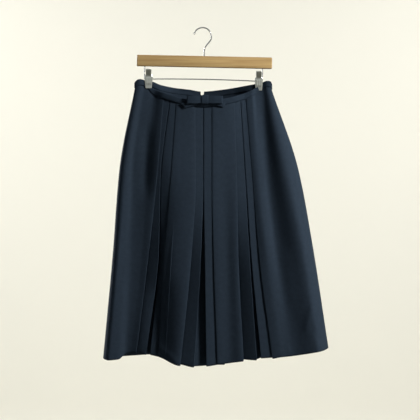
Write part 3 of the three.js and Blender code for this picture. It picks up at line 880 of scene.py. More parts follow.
def front_drape() -> Drape:
    """The front, its pleats' outer edges carrying its depth between the lines of its sides.

    Returns:
        How the front hangs.
    """
    edges = [
        (Line("outer left", pleat.outer_left, pleat.out_left, pleat.hem[0]),
         Line("outer right", pleat.outer_right, pleat.out_right, pleat.hem[2]))
        for pleat in PLEATS
    ]
    hem = [(line.x[3], line.hem) for line in FRONT_LEFT]
    for pleat in PLEATS:
        hem += zip((pleat.outer_left[3], pleat.inner_left[3], pleat.outer_right[3]), pleat.hem)
    hem += [(line.x[3], line.hem) for line in FRONT_RIGHT]
    lines = (*FRONT_LEFT, *edges[0], *edges[1], FRONT_MIDDLE, *edges[2], *FRONT_RIGHT)
    return Drape(lines, tuple(hem), FRONT_TOP)


FRONT = front_drape()
BACK = Drape(BACK_LINES, tuple((line.x[3], line.hem) for line in BACK_LINES), BACK_TOP)
CENTRE = next(i for i, line in enumerate(BACK_LINES) if line.name == "centre")


def centre_back(share: float, aside: float = 0.0) -> Place:
    """A place beside the centre back seam, on the skirt's own middle surface.

    Args:
        share: How far down the seam it lies.
        aside: How far to the right of the seam it lies.

    Returns:
        The place in millimetres.
    """
    line = BACK_LINES[CENTRE]
    x = along(line.x, share) + aside
    return (x, BACK.row(share).at(x), BACK.height(line.x[0], line.x[3], share))


@dataclass(frozen=True)
class Fold:
    """Where two layers meet: its path, and whether it is an outer edge or a fold at all."""

    x: Path
    outer: bool = False
    turned: bool = True


@dataclass(frozen=True)
class Strip:
    """Cloth between two folds on one layer, counted from the front.

    half is the half of a pleat that it lies in, or None in a pleat's middle and on a panel.
    """

    start: Fold
    end: Fold
    layer: int
    pleat: Pleat | None = None
    half: Side | None = None


class Anchor(Enum):
    """What a column's place on a strip is counted from."""

    START = "start"
    SHARE = "share"
    END = "end"


@dataclass(frozen=True)
class Column:
    """A column of points down a strip: a distance from its start or end, or a share of its width."""

    anchor: Anchor
    value: float

    def across(self, width: float) -> float:
        """Where the column lies on its strip.

        Args:
            width: The strip's width at one row.

        Returns:
            The share of the width. Columns near a fold draw together where the strip is narrow.
        """
        end_zone, widest_zone, closest = 9.0, 0.45, 0.06
        if self.anchor is Anchor.SHARE:
            clear = min(end_zone / width, widest_zone)
            return mix(clear, 1 - clear, self.value)
        near = min(self.value / width, closest * self.value)
        return near if self.anchor is Anchor.START else 1 - near


@dataclass(frozen=True)
class Row:
    """What holds along one row of the front.

    opened is 0 where the pleats are stitched down and 1 where they hang open, pitch is the distance from
    one layer to the next, and radius is how tightly the folds turn.
    """

    share: float
    opened: float
    pitch: float
    radius: float
    depths: Depths


@dataclass(frozen=True)
class Panel:
    """What the front and both backs share: thin cloth, in rows from under the waistband to the hem.

    release is the share at which the pleats' stitching and the zip end, tuck is how far the cloth reaches
    up behind the waistband, and seam_reach is the share that the dip at the waist seam takes.
    """

    length: float
    wall: float = 0.6
    release: float = 0.29
    seam_reach: float = 0.007
    tuck: float = 3.0
    row_spacing: float = 6.2
    column_spacing: float = 5.2

    def shares(self) -> list[float]:
        """Even rows down the cloth, the first one tucked up behind the waistband."""
        count = round(self.length / self.row_spacing)
        return [-self.tuck / self.length, 0.0, self.seam_reach / 2, *[k / count for k in range(1, count + 1)]]

    def row_points(self, share: float) -> list[Place]:
        """The points of one row from left to right, which each kind of panel lays in its own way."""
        raise NotImplementedError

    def build(self, name: str) -> bpy.types.Object:
        """The panel's cloth, as one thin sheet.

        Args:
            name: The object's name.

        Returns:
            The new object.
        """
        return shell(name, [self.row_points(share) for share in self.shares()], self.wall, SUITING)


@dataclass(frozen=True)
class FrontPanel(Panel):
    """The front with its three double inverted box pleats, one cloth through all their layers.

    underlap is how far the hidden layers reach behind an edge. The layers lie stitched_pitch apart where
    the pleats are sewn down, and open_pitch apart from the share opened_by on, where the layers from
    sunk_layer on also lie gap_depth further back. The edge sizes give how tightly a fold turns, from how
    far its two layers draw together, and how far an edge that shows rolls back.
    """

    length: float = 680.0
    underlap: float = 18.0
    stitched_pitch: float = 0.85
    open_pitch: float = 2.0
    opened_by: float = 0.72
    gap_depth: float = 9.0
    sunk_layer: int = 3
    seam_groove: float = 1.2
    edge_radius: float = 0.55
    edge_reach: float = 9.0
    edge_set_back: float = 0.5
    set_back_reach: float = 7.0
    fold_columns: Place = (1.3, 3.0, 6.0)
    side_columns: Path = (0.0, 0.8, 2.2, 5.0)
    fold_angles: tuple[float, ...] = (67.5, 33.75, 0.0, -33.75, -67.5)
    # How much higher than its panel each layer's hem ends, counted from the front.
    hem_rises: tuple[float, ...] = (0.0, 3.0, 0.0, 3.0, 1.5)
    # The layer and half of each strip of a pleat, from left to right.
    layers: tuple[tuple[int, Side | None], ...] = (
        (1, Side.LEFT), (2, Side.LEFT), (3, Side.LEFT), (4, None), (3, Side.RIGHT), (2, Side.RIGHT),
        (1, Side.RIGHT),
    )

    def pleat_strips(self, pleat: Pleat) -> list[Strip]:
        """The hidden and shown strips of one pleat.

        Args:
            pleat: The pleat.

        Returns:
            Its strips from left to right.
        """
        folds = [
            Fold(pleat.outer_left, outer=True),
            Fold(shifted(pleat.outer_left, -self.underlap)),
            Fold(pleat.inner_left),
            Fold(shifted(pleat.inner_left, -self.underlap)),
            Fold(shifted(pleat.inner_right, self.underlap)),
            Fold(pleat.inner_right),
            Fold(shifted(pleat.outer_right, self.underlap)),
            Fold(pleat.outer_right, outer=True),
        ]
        return [Strip(a, b, layer, pleat, half) for a, b, (layer, half) in zip(folds, folds[1:], self.layers)]

    @cached_property
    def strips(self) -> list[Strip]:
        """Every strip of the front.

        Returns:
            The strips from its left side to its right.
        """
        strips: list[Strip] = []
        left = Fold(FRONT_LEFT[0].x, turned=False)
        for pleat in PLEATS:
            inner = self.pleat_strips(pleat)
            strips += [Strip(left, inner[0].start, 0), *inner]
            left = inner[-1].end
        return [*strips, Strip(left, Fold(FRONT_RIGHT[-1].x, turned=False), 0)]

    def columns(self, strip: Strip) -> list[Column]:
        """The columns of points down a strip.

        Args:
            strip: The strip.

        Returns:
            Its columns from its start to its end, closer together beside its folds.
        """
        width = max(abs(b - a) for a, b in zip(strip.start.x, strip.end.x))
        count = max(1, round((width - 2 * self.fold_columns[-1]) / self.column_spacing) - 1)
        near_start = self.fold_columns if strip.start.turned else self.side_columns
        near_end = self.fold_columns if strip.end.turned else self.side_columns
        return [
            *[Column(Anchor.START, distance) for distance in near_start],
            *[Column(Anchor.SHARE, (k + 1) / (count + 1)) for k in range(count)],
            *[Column(Anchor.END, distance) for distance in reversed(near_end)],
        ]

    def row_points(self, share: float) -> list[Place]:
        """The points of one row, from the left side seam to the right one.

        Args:
            share: How far down the row lies.

        Returns:
            The points in millimetres.
        """
        opened = ease(self.release, self.opened_by, share)
        pitch = mix(self.stitched_pitch, self.open_pitch, opened)
        row = Row(share, opened, pitch, min(self.edge_radius, pitch / 2), FRONT.row(share))
        points: list[Place] = []
        for index, strip in enumerate(self.strips):
            width = abs(along(strip.end.x, share) - along(strip.start.x, share))
            points += [self.point(index, column.across(width), width, row) for column in self.columns(strip)]
            if index + 1 < len(self.strips):
                points += self.turn(index, row)
        return points

    def point(self, index: int, across: float, width: float, row: Row) -> Place:
        """A point on the flat of a strip.

        Args:
            index: Which strip.
            across: The share of its width.
            width: Its width at this row.
            row: The row.

        Returns:
            The point in millimetres.
        """
        strip = self.strips[index]
        x = mix(along(strip.start.x, row.share), along(strip.end.x, row.share), across)
        out = row.depths.at(x) + self.lift(strip, x, row) - strip.layer * row.pitch - self.groove(row)
        near_start, near_end = (index - 1, strip.start, across), (index + 1, strip.end, 1 - across)
        for beside, fold, part in (near_start, near_end):
            if 0 <= beside < len(self.strips):
                toward = -1.0 if self.strips[beside].layer > strip.layer else 1.0
                out += toward * self.closing(fold, part * width, row) - self.set_back(fold, part * width)
        x_hem = mix(strip.start.x[3], strip.end.x[3], across)
        z = FRONT.height(mix(strip.start.x[0], strip.end.x[0], across), x_hem, row.share)
        z += max(row.share, 0.0) * self.hem_shift(strip, x_hem)
        return (x, -(out + crease_height(FRONT_CREASES, x, z)), z)

    def turn(self, index: int, row: Row) -> list[Place]:
        """The half circle that joins a strip to the next one.

        Args:
            index: Which strip.
            row: The row.

        Returns:
            The points round the fold in millimetres.
        """
        strip, following = self.strips[index], self.strips[index + 1]
        edge = along(strip.end.x, row.share)
        heading = 1.0 if edge > along(strip.start.x, row.share) else -1.0
        inward = 1.0 if following.layer > strip.layer else -1.0
        middle = (strip.layer + following.layer) / 2 * row.pitch
        middle += self.groove(row) + self.set_back(strip.end, 0.0)
        lifts = [self.lift(part, edge, row) for part in (strip, following)]
        shifts = [self.hem_shift(part, strip.end.x[3]) for part in (strip, following)]
        foot = FRONT.height(strip.end.x[0], strip.end.x[3], row.share)
        points: list[Place] = []
        for angle in self.fold_angles:
            turned = math.radians(angle)
            part = 0.5 - angle / 180
            x = edge - heading * row.radius * (1 - math.cos(turned))
            z = foot + max(row.share, 0.0) * mix(*shifts, part)
            out = row.depths.at(x) - middle + mix(*lifts, part) + inward * row.radius * math.sin(turned)
            points.append((x, -(out + crease_height(FRONT_CREASES, x, z)), z))
        return points

    def groove(self, row: Row) -> float:
        """How far the cloth dips where it is sewn into the waistband."""
        return self.seam_groove * (1 - ease(0.0, self.seam_reach, row.share))

    def closing(self, fold: Fold, distance: float, row: Row) -> float:
        """How far a layer comes toward its neighbour as it nears the fold that joins them."""
        near = 1 - ease(0.0, self.edge_reach, distance)
        return near * (row.pitch / 2 - row.radius) if fold.turned else 0.0

    def set_back(self, fold: Fold, distance: float) -> float:
        """How far the cloth rolls back close to an edge that shows."""
        return self.edge_set_back * (1 - ease(0.0, self.set_back_reach, distance)) if fold.outer else 0.0

    def lift(self, strip: Strip, x: float, row: Row) -> float:
        """How far a strip stands forward of its layer, once its pleat has opened.

        Args:
            strip: The strip.
            x: The place across it.
            row: The row.

        Returns:
            The distance in millimetres, below 0 for the layers that lie sunk in the pleat.
        """
        if strip.pleat is None or row.opened == 0.0:
            return 0.0
        lifts = strip.pleat.lifts
        outer_left, left, right, outer_right = strip.pleat.edges(row.share)
        far_left, far_right = left - self.underlap, right + self.underlap
        on_left, left_end = [
            mix(lifts[0], lifts[1], (place - outer_left) / (left - outer_left)) for place in (x, far_left)
        ]
        on_right, right_end = [
            mix(lifts[3], lifts[2], (outer_right - place) / (outer_right - right)) for place in (x, far_right)
        ]
        if strip.half is None:
            across = (x - far_left) / (far_right - far_left)
            return row.opened * (mix(left_end, right_end, across) - self.gap_depth)
        lifted, edge = (on_left, left) if strip.half is Side.LEFT else (on_right, right)
        sunk = self.gap_depth * ease(0.0, self.underlap, abs(x - edge))
        return row.opened * (lifted - (sunk if strip.layer == self.sunk_layer else 0.0))

    def hem_shift(self, strip: Strip, x_hem: float) -> float:
        """How far a pleat strip's hem lies from the panels' own line.

        Args:
            strip: The strip.
            x_hem: The place across it at the hem.

        Returns:
            The distance up in millimetres.
        """
        if strip.pleat is None:
            return 0.0
        own = smooth(strip.pleat.edges(1.0), strip.pleat.strip_hem, x_hem)
        return own + self.hem_rises[strip.layer] - marked(FRONT.hem, x_hem)


@dataclass(frozen=True)
class BackPanel(Panel):
    """One half of the back, from its side seam to the centre back seam with the zip."""

    length: float = 670.0
    side: Side = Side.LEFT
    zip_gap: float = 1.5
    seam_dip: float = 0.5
    seam_dip_reach: float = 4.0

    @cached_property
    def columns(self) -> list[Path]:
        """The paths of the columns of points.

        Returns:
            The paths from left to right.
        """
        lines = BACK_LINES[: CENTRE + 1] if self.side is Side.LEFT else BACK_LINES[CENTRE:]
        paths: list[Path] = []
        for a, b in zip(lines, lines[1:]):
            width = max(abs(q - p) for p, q in zip(a.x, b.x))
            count = max(2, round(width / self.column_spacing))
            paths += [tuple(mix(p, q, k / count) for p, q in zip(a.x, b.x)) for k in range(count)]
        return [*paths, lines[-1].x]

    def parted(self, share: float) -> float:
        """Half of the gap at the centre: wide along the zip, then only a seam."""
        return mix(self.zip_gap, SEAM_GAP / 2, ease(self.release - 0.01, self.release + 0.03, share))

    def row_points(self, share: float) -> list[Place]:
        """The points of one row from left to right.

        Args:
            share: How far down the row lies.

        Returns:
            The points in millimetres.
        """
        depths = BACK.row(share)
        last = len(self.columns) - 1
        seam, side_seam = (last, 0) if self.side is Side.LEFT else (0, last)
        middle = along(self.columns[seam], share)
        points: list[Place] = []
        for i, path in enumerate(self.columns):
            x = along(path, share)
            z = BACK.height(path[0], path[3], share)
            y = depths.at(x) + crease_height(BACK_CREASES, x, z)
            y -= self.seam_dip * (1 - ease(0, self.seam_dip_reach, abs(x - middle)))
            gap = self.side.value * self.parted(share) if i == seam else 0.0
            points.append((x + gap, SEAM_GAP if i == side_seam else y, z))
        return points


@dataclass(frozen=True)
class Waistband:
    """The narrow folded band round the waist: one piece in front, two behind."""

    # Its section, from its foot over the rolled top edge and down inside: out of the middle, height.
    section: tuple[Flat, ...] = (
        (0.3, 0.0), (1.2, 0.7), (1.5, 2.6), (1.55, 8.0), (1.45, 12.0), (1.1, 14.1), (0.4, 15.0),
        (-0.4, 15.0), (-1.1, 14.1), (-1.3, 11.0), (-1.3, 4.0), (-1.0, 0.0),
    )
    end_steps: Flat = (1.0, 2.4)
    front_steps: int = 92
    back_steps: int = 46
    back_gap: float = 0.5
    back_lean: float = 6.5

    @staticmethod
    def normals(points: Sequence[Flat]) -> list[Flat]:
        """Unit normals in plan along a row of points.

        Args:
            points: x and y of the points.

        Returns:
            The normals, all on the row's -y side where it runs to +x.
        """
        normals: list[Flat] = []
        for i in range(len(points)):
            a, b = points[max(i - 1, 0)], points[min(i + 1, len(points) - 1)]
            size = math.dist(a, b)
            normals.append(((b[1] - a[1]) / size, (a[0] - b[0]) / size))
        return normals

    def build(self, name: str, places: Sequence[Place], leans: Flat = (0.0, 0.0)) -> bpy.types.Object:
        """A folded band, closed all round.

        Args:
            name: The object's name.
            places: x, y and the height of the top edge along the band.
            leans: How far the first and the last end lean in x from the foot to the top.

        Returns:
            The new object.
        """
        points: list[Place] = []
        last = len(places) - 1
        normals = self.normals([place[:2] for place in places])
        for i, ((x, y, top), (nx, ny)) in enumerate(zip(places, normals)):
            lean = {0: leans[0], last: leans[1]}.get(i, 0.0)
            points += [
                (x + nx * out + lean * height / BAND_HEIGHT, y + ny * out, top - BAND_HEIGHT + height)
                for out, height in self.section
            ]
        made = new_object(name, points, tube_faces(len(places), len(self.section)))
        layer = made.data.uv_layers.new(name="cloth_mm")
        for loop in made.data.loops:
            x, _, z = made.data.vertices[loop.vertex_index].co
            layer.data[loop.index].uv = (x / MM, z / MM)
        soften(made, 50)
        dress(made, BAND_SUITING)
        return made

    def front(self) -> bpy.types.Object:
        """The front band, sagging between the clips.

        Returns:
            The new object.
        """
        depths = FRONT.row(0.0)
        first, last = FRONT_LEFT[0].x[0], FRONT_RIGHT[-1].x[0]
        near, far = self.end_steps
        xs = [first, first + near, *evenly(first + far, last - far, self.front_steps), last - near, last]
        return self.build("waistband_front", [(x, -depths.at(x), marked(FRONT_TOP, x)) for x in xs])

    def back(self, side: Side) -> bpy.types.Object:
        """Half of the back band, its end leaning away to leave the V over the zip.

        Args:
            side: Which half.

        Returns:
            The new object.
        """
        depths = BACK.row(0.0)
        centre = BACK_LINES[CENTRE].x[0]
        seam = BACK_LINES[0 if side is Side.LEFT else -1].x[0]
        first, last = sorted((seam, centre + side.value * self.back_gap))
        xs = evenly(first, last, self.back_steps)
        places = [(x, max(SEAM_GAP, depths.at(x)), marked(BACK_TOP, x)) for x in xs]
        leans = (0.0, -self.back_lean) if side is Side.LEFT else (self.back_lean, 0.0)
        return self.build(f"waistband_back_{side.label}", places, leans)


@dataclass(frozen=True)
class Bow:
    """The flat tailored bow on the front waistband: two loops, two slant-cut tails and a knot.

    out is where its hindmost layer lies, flatness is how far its layers are pressed together, and following
    is how closely it goes round with the waistband. The loops are gathered toward the knot and plump
    beyond it, and the knot is pinched along two soft pleats and drawn in at both rims.
    """

    x: float = 5.5
    z: float = -181.0
    half: float = 44.5
    height: float = 19.0
    out: float = 27.9
    wall: float = 1.3
    knot_wall: float = 1.0
    flatness: float = 0.74
    following: float = 0.85
    gather: float = 0.7
    gather_reach: Flat = (8.0, 24.0)
    plumpness: float = 0.5
    plump_reach: Flat = (6.0, 20.0)
    pinch: float = 0.35
    pinch_at: float = 0.42
    knot_rim: Flat = (0.96, 0.92)
    knot_width: float = 17.0
    knot_height: float = 22.0
    knot_start: Flat = (6.0, -6.5)
    tail_steps: int = 14
    # Heights across a loop, shares across a tail and places across the knot, closer together at the edges.
    loop_rows: tuple[float, ...] = (1.0, 0.96, 0.75, 0.4, 0.0, -0.4, -0.75, -0.96, -1.0)
    tail_rows: tuple[float, ...] = (0.0, 0.04, 0.25, 0.5, 0.75, 0.96, 1.0)
    knot_rows: tuple[float, ...] = (-1.0, -0.95, -0.7, -0.42, -0.15, 0.15, 0.42, 0.7, 0.95, 1.0)
    # x and z of the tip and the heel of each tail's slanting end.
    left_tail: tuple[Flat, Flat] = ((-55.7, -190.5), (-44.5, -202.5))
    right_tail: tuple[Flat, Flat] = ((58.0, -189.0), (52.5, -200.0))

    @cached_property
    def waist(self) -> Depths:
        """The depths of the front under the waistband."""
        return FRONT.row(0.0)

    def behind(self, x: float) -> float:
        """How far out the bow's hindmost layer lies: it follows the waistband round."""
        return self.out - self.following * (self.waist.at(self.x) - self.waist.at(x))

    def loop(self, side: Side) -> bpy.types.Object:
        """One loop: a doubled band that runs out, turns round and comes back.

        Args:
            side: Which loop.

        Returns:
            The new object.
        """
        turn_out = 3.9
        path = [
            (0.3, 1.9), (12, 1.9), (26, 1.8), (self.half - 4, 1.7), (self.half - 1.1, 2.0),
            (self.half, turn_out), (self.half - 1.1, 6.0), (self.half - 5, 6.5), (26, 6.7), (12, 5.2),
            (7, 4.5), (0.3, 4.1),
        ]
        rows: list[list[Place]] = []
        for h in self.loop_rows:
            row: list[Place] = []
            for aside, out in curve_through(path, 4):
                x = self.x + side.value * aside
                half_height = self.height / 2 - self.gather * (1 - ease(*self.gather_reach, aside))
                soft = self.plumpness * (1 - h * h) * ease(*self.plump_reach, aside)
                thick = out + (soft if out > turn_out else 0.0)
                row.append((x, -(self.behind(x) + self.flatness * thick), self.z + h * half_height))
            rows.append(row)
        return shell(f"bow_loop_{side.label}_cloth", rows, self.wall, BAND_SUITING)

    def tail(self, side: Side) -> bpy.types.Object:
        """One tail, lying against the waistband.

        Args:
            side: Which tail.

        Returns:
            The new object.
        """
        tip, heel = self.left_tail if side is Side.LEFT else self.right_tail
        start_x, bulge = self.x + side.value * 0.3, 0.4
        rows: list[list[Place]] = []
        for across in self.tail_rows:
            end_x, end_z = mix(tip[0], heel[0], across), mix(tip[1], heel[1], across)
            start_z = self.z + mix(*self.knot_start, across)
            row: list[Place] = []
            for share in evenly(0, 1, self.tail_steps):
                x = mix(start_x, end_x, share)
                out = self.behind(x) + bulge * math.sin(math.pi * across)
                row.append((x, -out, mix(start_z, end_z, share)))
            rows.append(row)
        return shell(f"bow_tail_{side.label}_cloth", rows, self.wall, BAND_SUITING)

    def knot(self) -> bpy.types.Object:
        """The short band wrapped round the loops and tails, with two soft pleats down its front.

        Returns:
            The new object.
        """
        high, face = self.knot_height / 2, 5.0
        section = [
            (-1.3, high - 1.6), (0.4, high - 0.3), (3.2, high), (6.0, high - 0.9), (7.2, high - 3.4),
            (7.7, 3.0), (7.8, 0.0), (7.7, -3.0), (7.2, 3.4 - high), (6.0, 0.9 - high), (3.2, -high),
            (0.4, 0.3 - high), (-1.3, 1.6 - high), (-1.6, 0.0), (-1.3, high - 1.6),
        ]
        rows: list[list[Place]] = []
        for across in self.knot_rows:
            pinch = -self.pinch if abs(across) == self.pinch_at else 0.0
            narrow = 1.0 if abs(across) < 0.9 else self.knot_rim[0] if abs(across) < 1 else self.knot_rim[1]
            row: list[Place] = []
            for out, z in section:
                own_out, own_z = ((out + pinch) * narrow, z * narrow) if out > face else (out, z)
                row.append((self.x + across * self.knot_width / 2, -(self.out + self.flatness * own_out),
                            self.z + own_z))
            rows.append(row)
        return shell("bow_knot_cloth", rows, self.knot_wall, BAND_SUITING)


@dataclass(frozen=True)
class Hanger:
    """The wooden bar, which leans a little, with its steel hook above and the clips' rod below."""

    tilt: float = 1.19
    bar_x: float = 4.5
    bar_z: float = -84.6
    bar_width: float = 340.0
    bar_height: float = 28.8
    bar_depth: float = 12.0
    bar_corner: float = 3.0
    bar_edge: float = 2.2
    hook_wire: float = 1.7
    hook_radius: float = 22.0
    hook_turn: tuple[int, int] = (162, -34)
    hook_tip: float = 2.5
    stem_x: float = 4.0
    stem_foot: float = -70.5
    rod_wire: float = 1.4
    rod_drop: float = 32.0
    rod_ends: Flat = (-145.2, 151.0)
    rod_span: float = 138.0
    rod_steps: int = 46
    rod_bend: float = 3.0
    rod_bow: float = 2.5

    def tilted(self, x: float, z: float) -> Flat:
        """A point of the leaning bar's own plane, in the scene's x and z.

        Args:
            x: How far along the bar it lies from the bar's middle.
            z: How far above the bar's middle line it lies.

        Returns:
            Its x and z in millimetres.
        """
        lean = math.radians(self.tilt)
        return (self.bar_x + x * math.cos(lean) + z * math.sin(lean),
                self.bar_z - x * math.sin(lean) + z * math.cos(lean))

    def bar(self) -> bpy.types.Object:
        """The bar, with rounded corners, softly broken edges and a bare face.

        Returns:
            The new object.
        """
        across, up, corner = self.bar_width / 2, self.bar_height / 2, self.bar_corner
        outline: list[Flat] = []
        for quarter, (way_x, way_z) in enumerate(((1, 1), (-1, 1), (-1, -1), (1, -1))):
            for k in range(7):
                turned = math.radians(90 * quarter + 15 * k)
                outline.append((way_x * (across - corner) + corner * math.cos(turned),
                                way_z * (up - corner) + corner * math.sin(turned)))
        points: list[Place] = []
        for y in (-self.bar_depth / 2, self.bar_depth / 2):
            for x, z in (self.tilted(*place) for place in outline):
                points.append((x, y, z))
        made = new_object("wooden_bar", points, tube_faces(2, len(outline)))
        edge = made.modifiers.new("edge", "BEVEL")
        edge.width = self.bar_edge * MM
        edge.segments = 3
        edge.limit_method = "ANGLE"
        edge.angle_limit = math.radians(60)
        apply_modifiers(made)
        soften(made, 35)
        dress(made, WOOD)
        made.data.materials.append(BEECH_PAINTED_SHADE.material())
        # The chamfers below the front and the back look down and aside: they take the second finish, a
        # painted shade.
        down, aside = -0.3, 0.05
        for face in made.data.polygons:
            face.material_index = int(face.normal.z < down and abs(face.normal.y) > aside)
        return made

    def hook(self) -> bpy.types.Object:
        """The hook: round from its blunt tip over the top, then down to a short upright stem.

        Returns:
            The new object.
        """
        r = self.hook_radius
        turns = [math.radians(degrees) for degrees in range(*self.hook_turn, -5)]
        bow = [(r * math.cos(turn), self.hook_wire - r + r * math.sin(turn)) for turn in turns]
        stem = [(7.5, -46), (self.stem_x + 0.9, -51.5), (self.stem_x, -57), (self.stem_x, -63),
                (self.stem_x, self.stem_foot)]
        line = bow[:-1] + curve_through([bow[-1], *stem], 5)
        wire = tube("hook_wire", [(x, 0.0, z) for x, z in line], self.hook_wire, 5)
        tip_x, tip_z = line[0]
        bpy.ops.mesh.primitive_uv_sphere_add(segments=20, ring_count=12, radius=self.hook_tip * MM,
                                             location=(tip_x * MM, 0, tip_z * MM))
        tip = bpy.context.object
        bpy.ops.object.shade_smooth()
        dress(tip, CHROME)
        return join_as("hook_and_tip", [wire, tip])

    def rod_height(self, aside: float) -> float:
        """How high the rod lies over the bar's middle line: it bows up between its ends."""
        half = (self.rod_ends[1] - self.rod_ends[0]) / 2
        return -self.bar_height / 2 - self.rod_drop + self.rod_bow * (1 - (aside / half) ** 2)

    def rod(self) -> bpy.types.Object:
        """The rod, with both ends bent up into the bar.

        Returns:
            The new object.
        """
        top, low, bend = 1.0 - self.bar_height / 2, -self.bar_height / 2 - self.rod_drop, self.rod_bend
        ends: list[list[Flat]] = []
        for x, inward in zip(self.rod_ends, (1, -1)):
            start = x - self.bar_x
            turns = [math.radians(degrees) for degrees in range(0, 91, 15)]
            turn = [(start + inward * bend * (1 - math.cos(a)), low + bend - bend * math.sin(a))
                    for a in turns]
            ends.append([(start, top), (start, (top + low) / 2), *turn])
        asides = evenly(-self.rod_span, self.rod_span, self.rod_steps)
        line = [*ends[0], *[(aside, self.rod_height(aside)) for aside in asides], *reversed(ends[1])]
        places = [self.tilted(*place) for place in line]
        return tube("steel_rod", [(x, 0.0, z) for x, z in places], self.rod_wire)

    def clip_height(self, x: float) -> float:
        """The height of the rod where a clip hangs on it."""
        aside = x - self.bar_x
        return self.bar_z + self.rod_height(aside) - math.tan(math.radians(self.tilt)) * aside


@dataclass(frozen=True)
class Clip:
    """One clip on the rod: two pressed jaws with raised ribs, and the spring between their lugs."""

    x: float
    z: float
    # A jaw by height over the rod, distance in front of it and width.
    levels: tuple[Place, ...] = (
        (-23.0, 3.35, 14.6), (-21.5, 3.45, 15.3), (-16.0, 3.9, 16.4), (-6.0, 4.75, 18.3), (4.0, 5.7, 20.0),
        (6.5, 5.95, 19.6), (8.5, 6.2, 17.5), (11.0, 6.8, 13.2), (17.0, 8.8, 13.0), (24.0, 11.0, 13.0),
        (25.0, 11.0, 12.0),
    )
    wall: float = 0.9
    rows: int = 40
    columns: int = 20
    rim: float = 0.9
    rim_from: float = 0.84
    rib: float = 0.9
    rib_width: float = 0.13
    rib_places: Place = (-0.5, 0.0, 0.5)
    ribs_low: float = -14.0
    ribs_high: float = 5.0
    ribs_fade: float = 3.0
    lug: Place = (1.0, 8.2, 5.4)
    lug_edge: float = 0.35
    lug_out: float = 1.2
    lug_x: float = 5.5
    lug_step: float = 1.3
    spring_turns: float = 5.5
    spring_radius: float = 2.6
    spring_wire: float = 0.45
    spring_half: float = 3.0
    spring_steps: int = 110
    spring_sides: int = 8

    def jaw(self, facing: Facing, name: str) -> bpy.types.Object:
        """One jaw with ribs, rolled sides and two lugs round the rod.

        Args:
            facing: Whether it is the front or the back jaw.
            name: The object's name.

        Returns:
            The new object.
        """
        heights, outs, widths = zip(*self.levels)
        points: list[Place] = []
        for z in evenly(heights[-1], heights[0], self.rows):
            shown = (ease(self.ribs_low, self.ribs_low + self.ribs_fade, z)
                     * ease(self.ribs_high, self.ribs_high - self.ribs_fade, z))
            for u in evenly(-1, 1, self.columns):
                rim = self.rim * ease(self.rim_from, 1.0, abs(u))
                ribs = sum(math.exp(-((u - place) / self.rib_width) ** 2) for place in self.rib_places)
                out = smooth(heights, outs, z) - rim + self.rib * shown * ribs
                points.append((self.x + u * smooth(heights, widths, z) / 2, -facing.value * out, self.z + z))
        plate = new_object(name, points, grid_faces(self.rows + 1, self.columns + 1))
        thicken(plate, self.wall)
        lug_x = self.lug_x if facing is Facing.FRONT else self.lug_x - self.lug_step
        lugs = [
            box(self.lug, (self.x + side.value * lug_x, -facing.value * self.lug_out, self.z), self.lug_edge)
            for side in Side
        ]
        made = join_as(name, [plate, *lugs])
        soften(made, 40)
        dress(made, SHEET_CHROME)
        return made

    def spring(self, name: str) -> bpy.types.Object:
        """The coil spring round the rod.

        Args:
            name: The object's name.

        Returns:
            The new object.
        """
        turn, half = 2 * math.pi * self.spring_turns, self.spring_half
        points: list[Place] = []
        for k in range(self.spring_steps + 1):
            share = k / self.spring_steps
            outward = Vector((0.0, math.cos(turn * share), math.sin(turn * share)))
            centre = Vector((self.x + mix(-half, half, share), 0.0, self.z)) + self.spring_radius * outward
            round_rod = Vector((0.0, -outward.z, outward.y))
            along_wire = Vector((2 * half / turn, 0.0, 0.0)) + self.spring_radius * round_rod
            across = along_wire.normalized().cross(outward)
            for c in range(self.spring_sides):
                a = 2 * math.pi * c / self.spring_sides
                ring = math.cos(a) * outward + math.sin(a) * across
                points.append(tuple(centre + self.spring_wire * ring))
        made = new_object(name, points, tube_faces(self.spring_steps + 1, self.spring_sides))
        dress(made, CHROME)
        return made


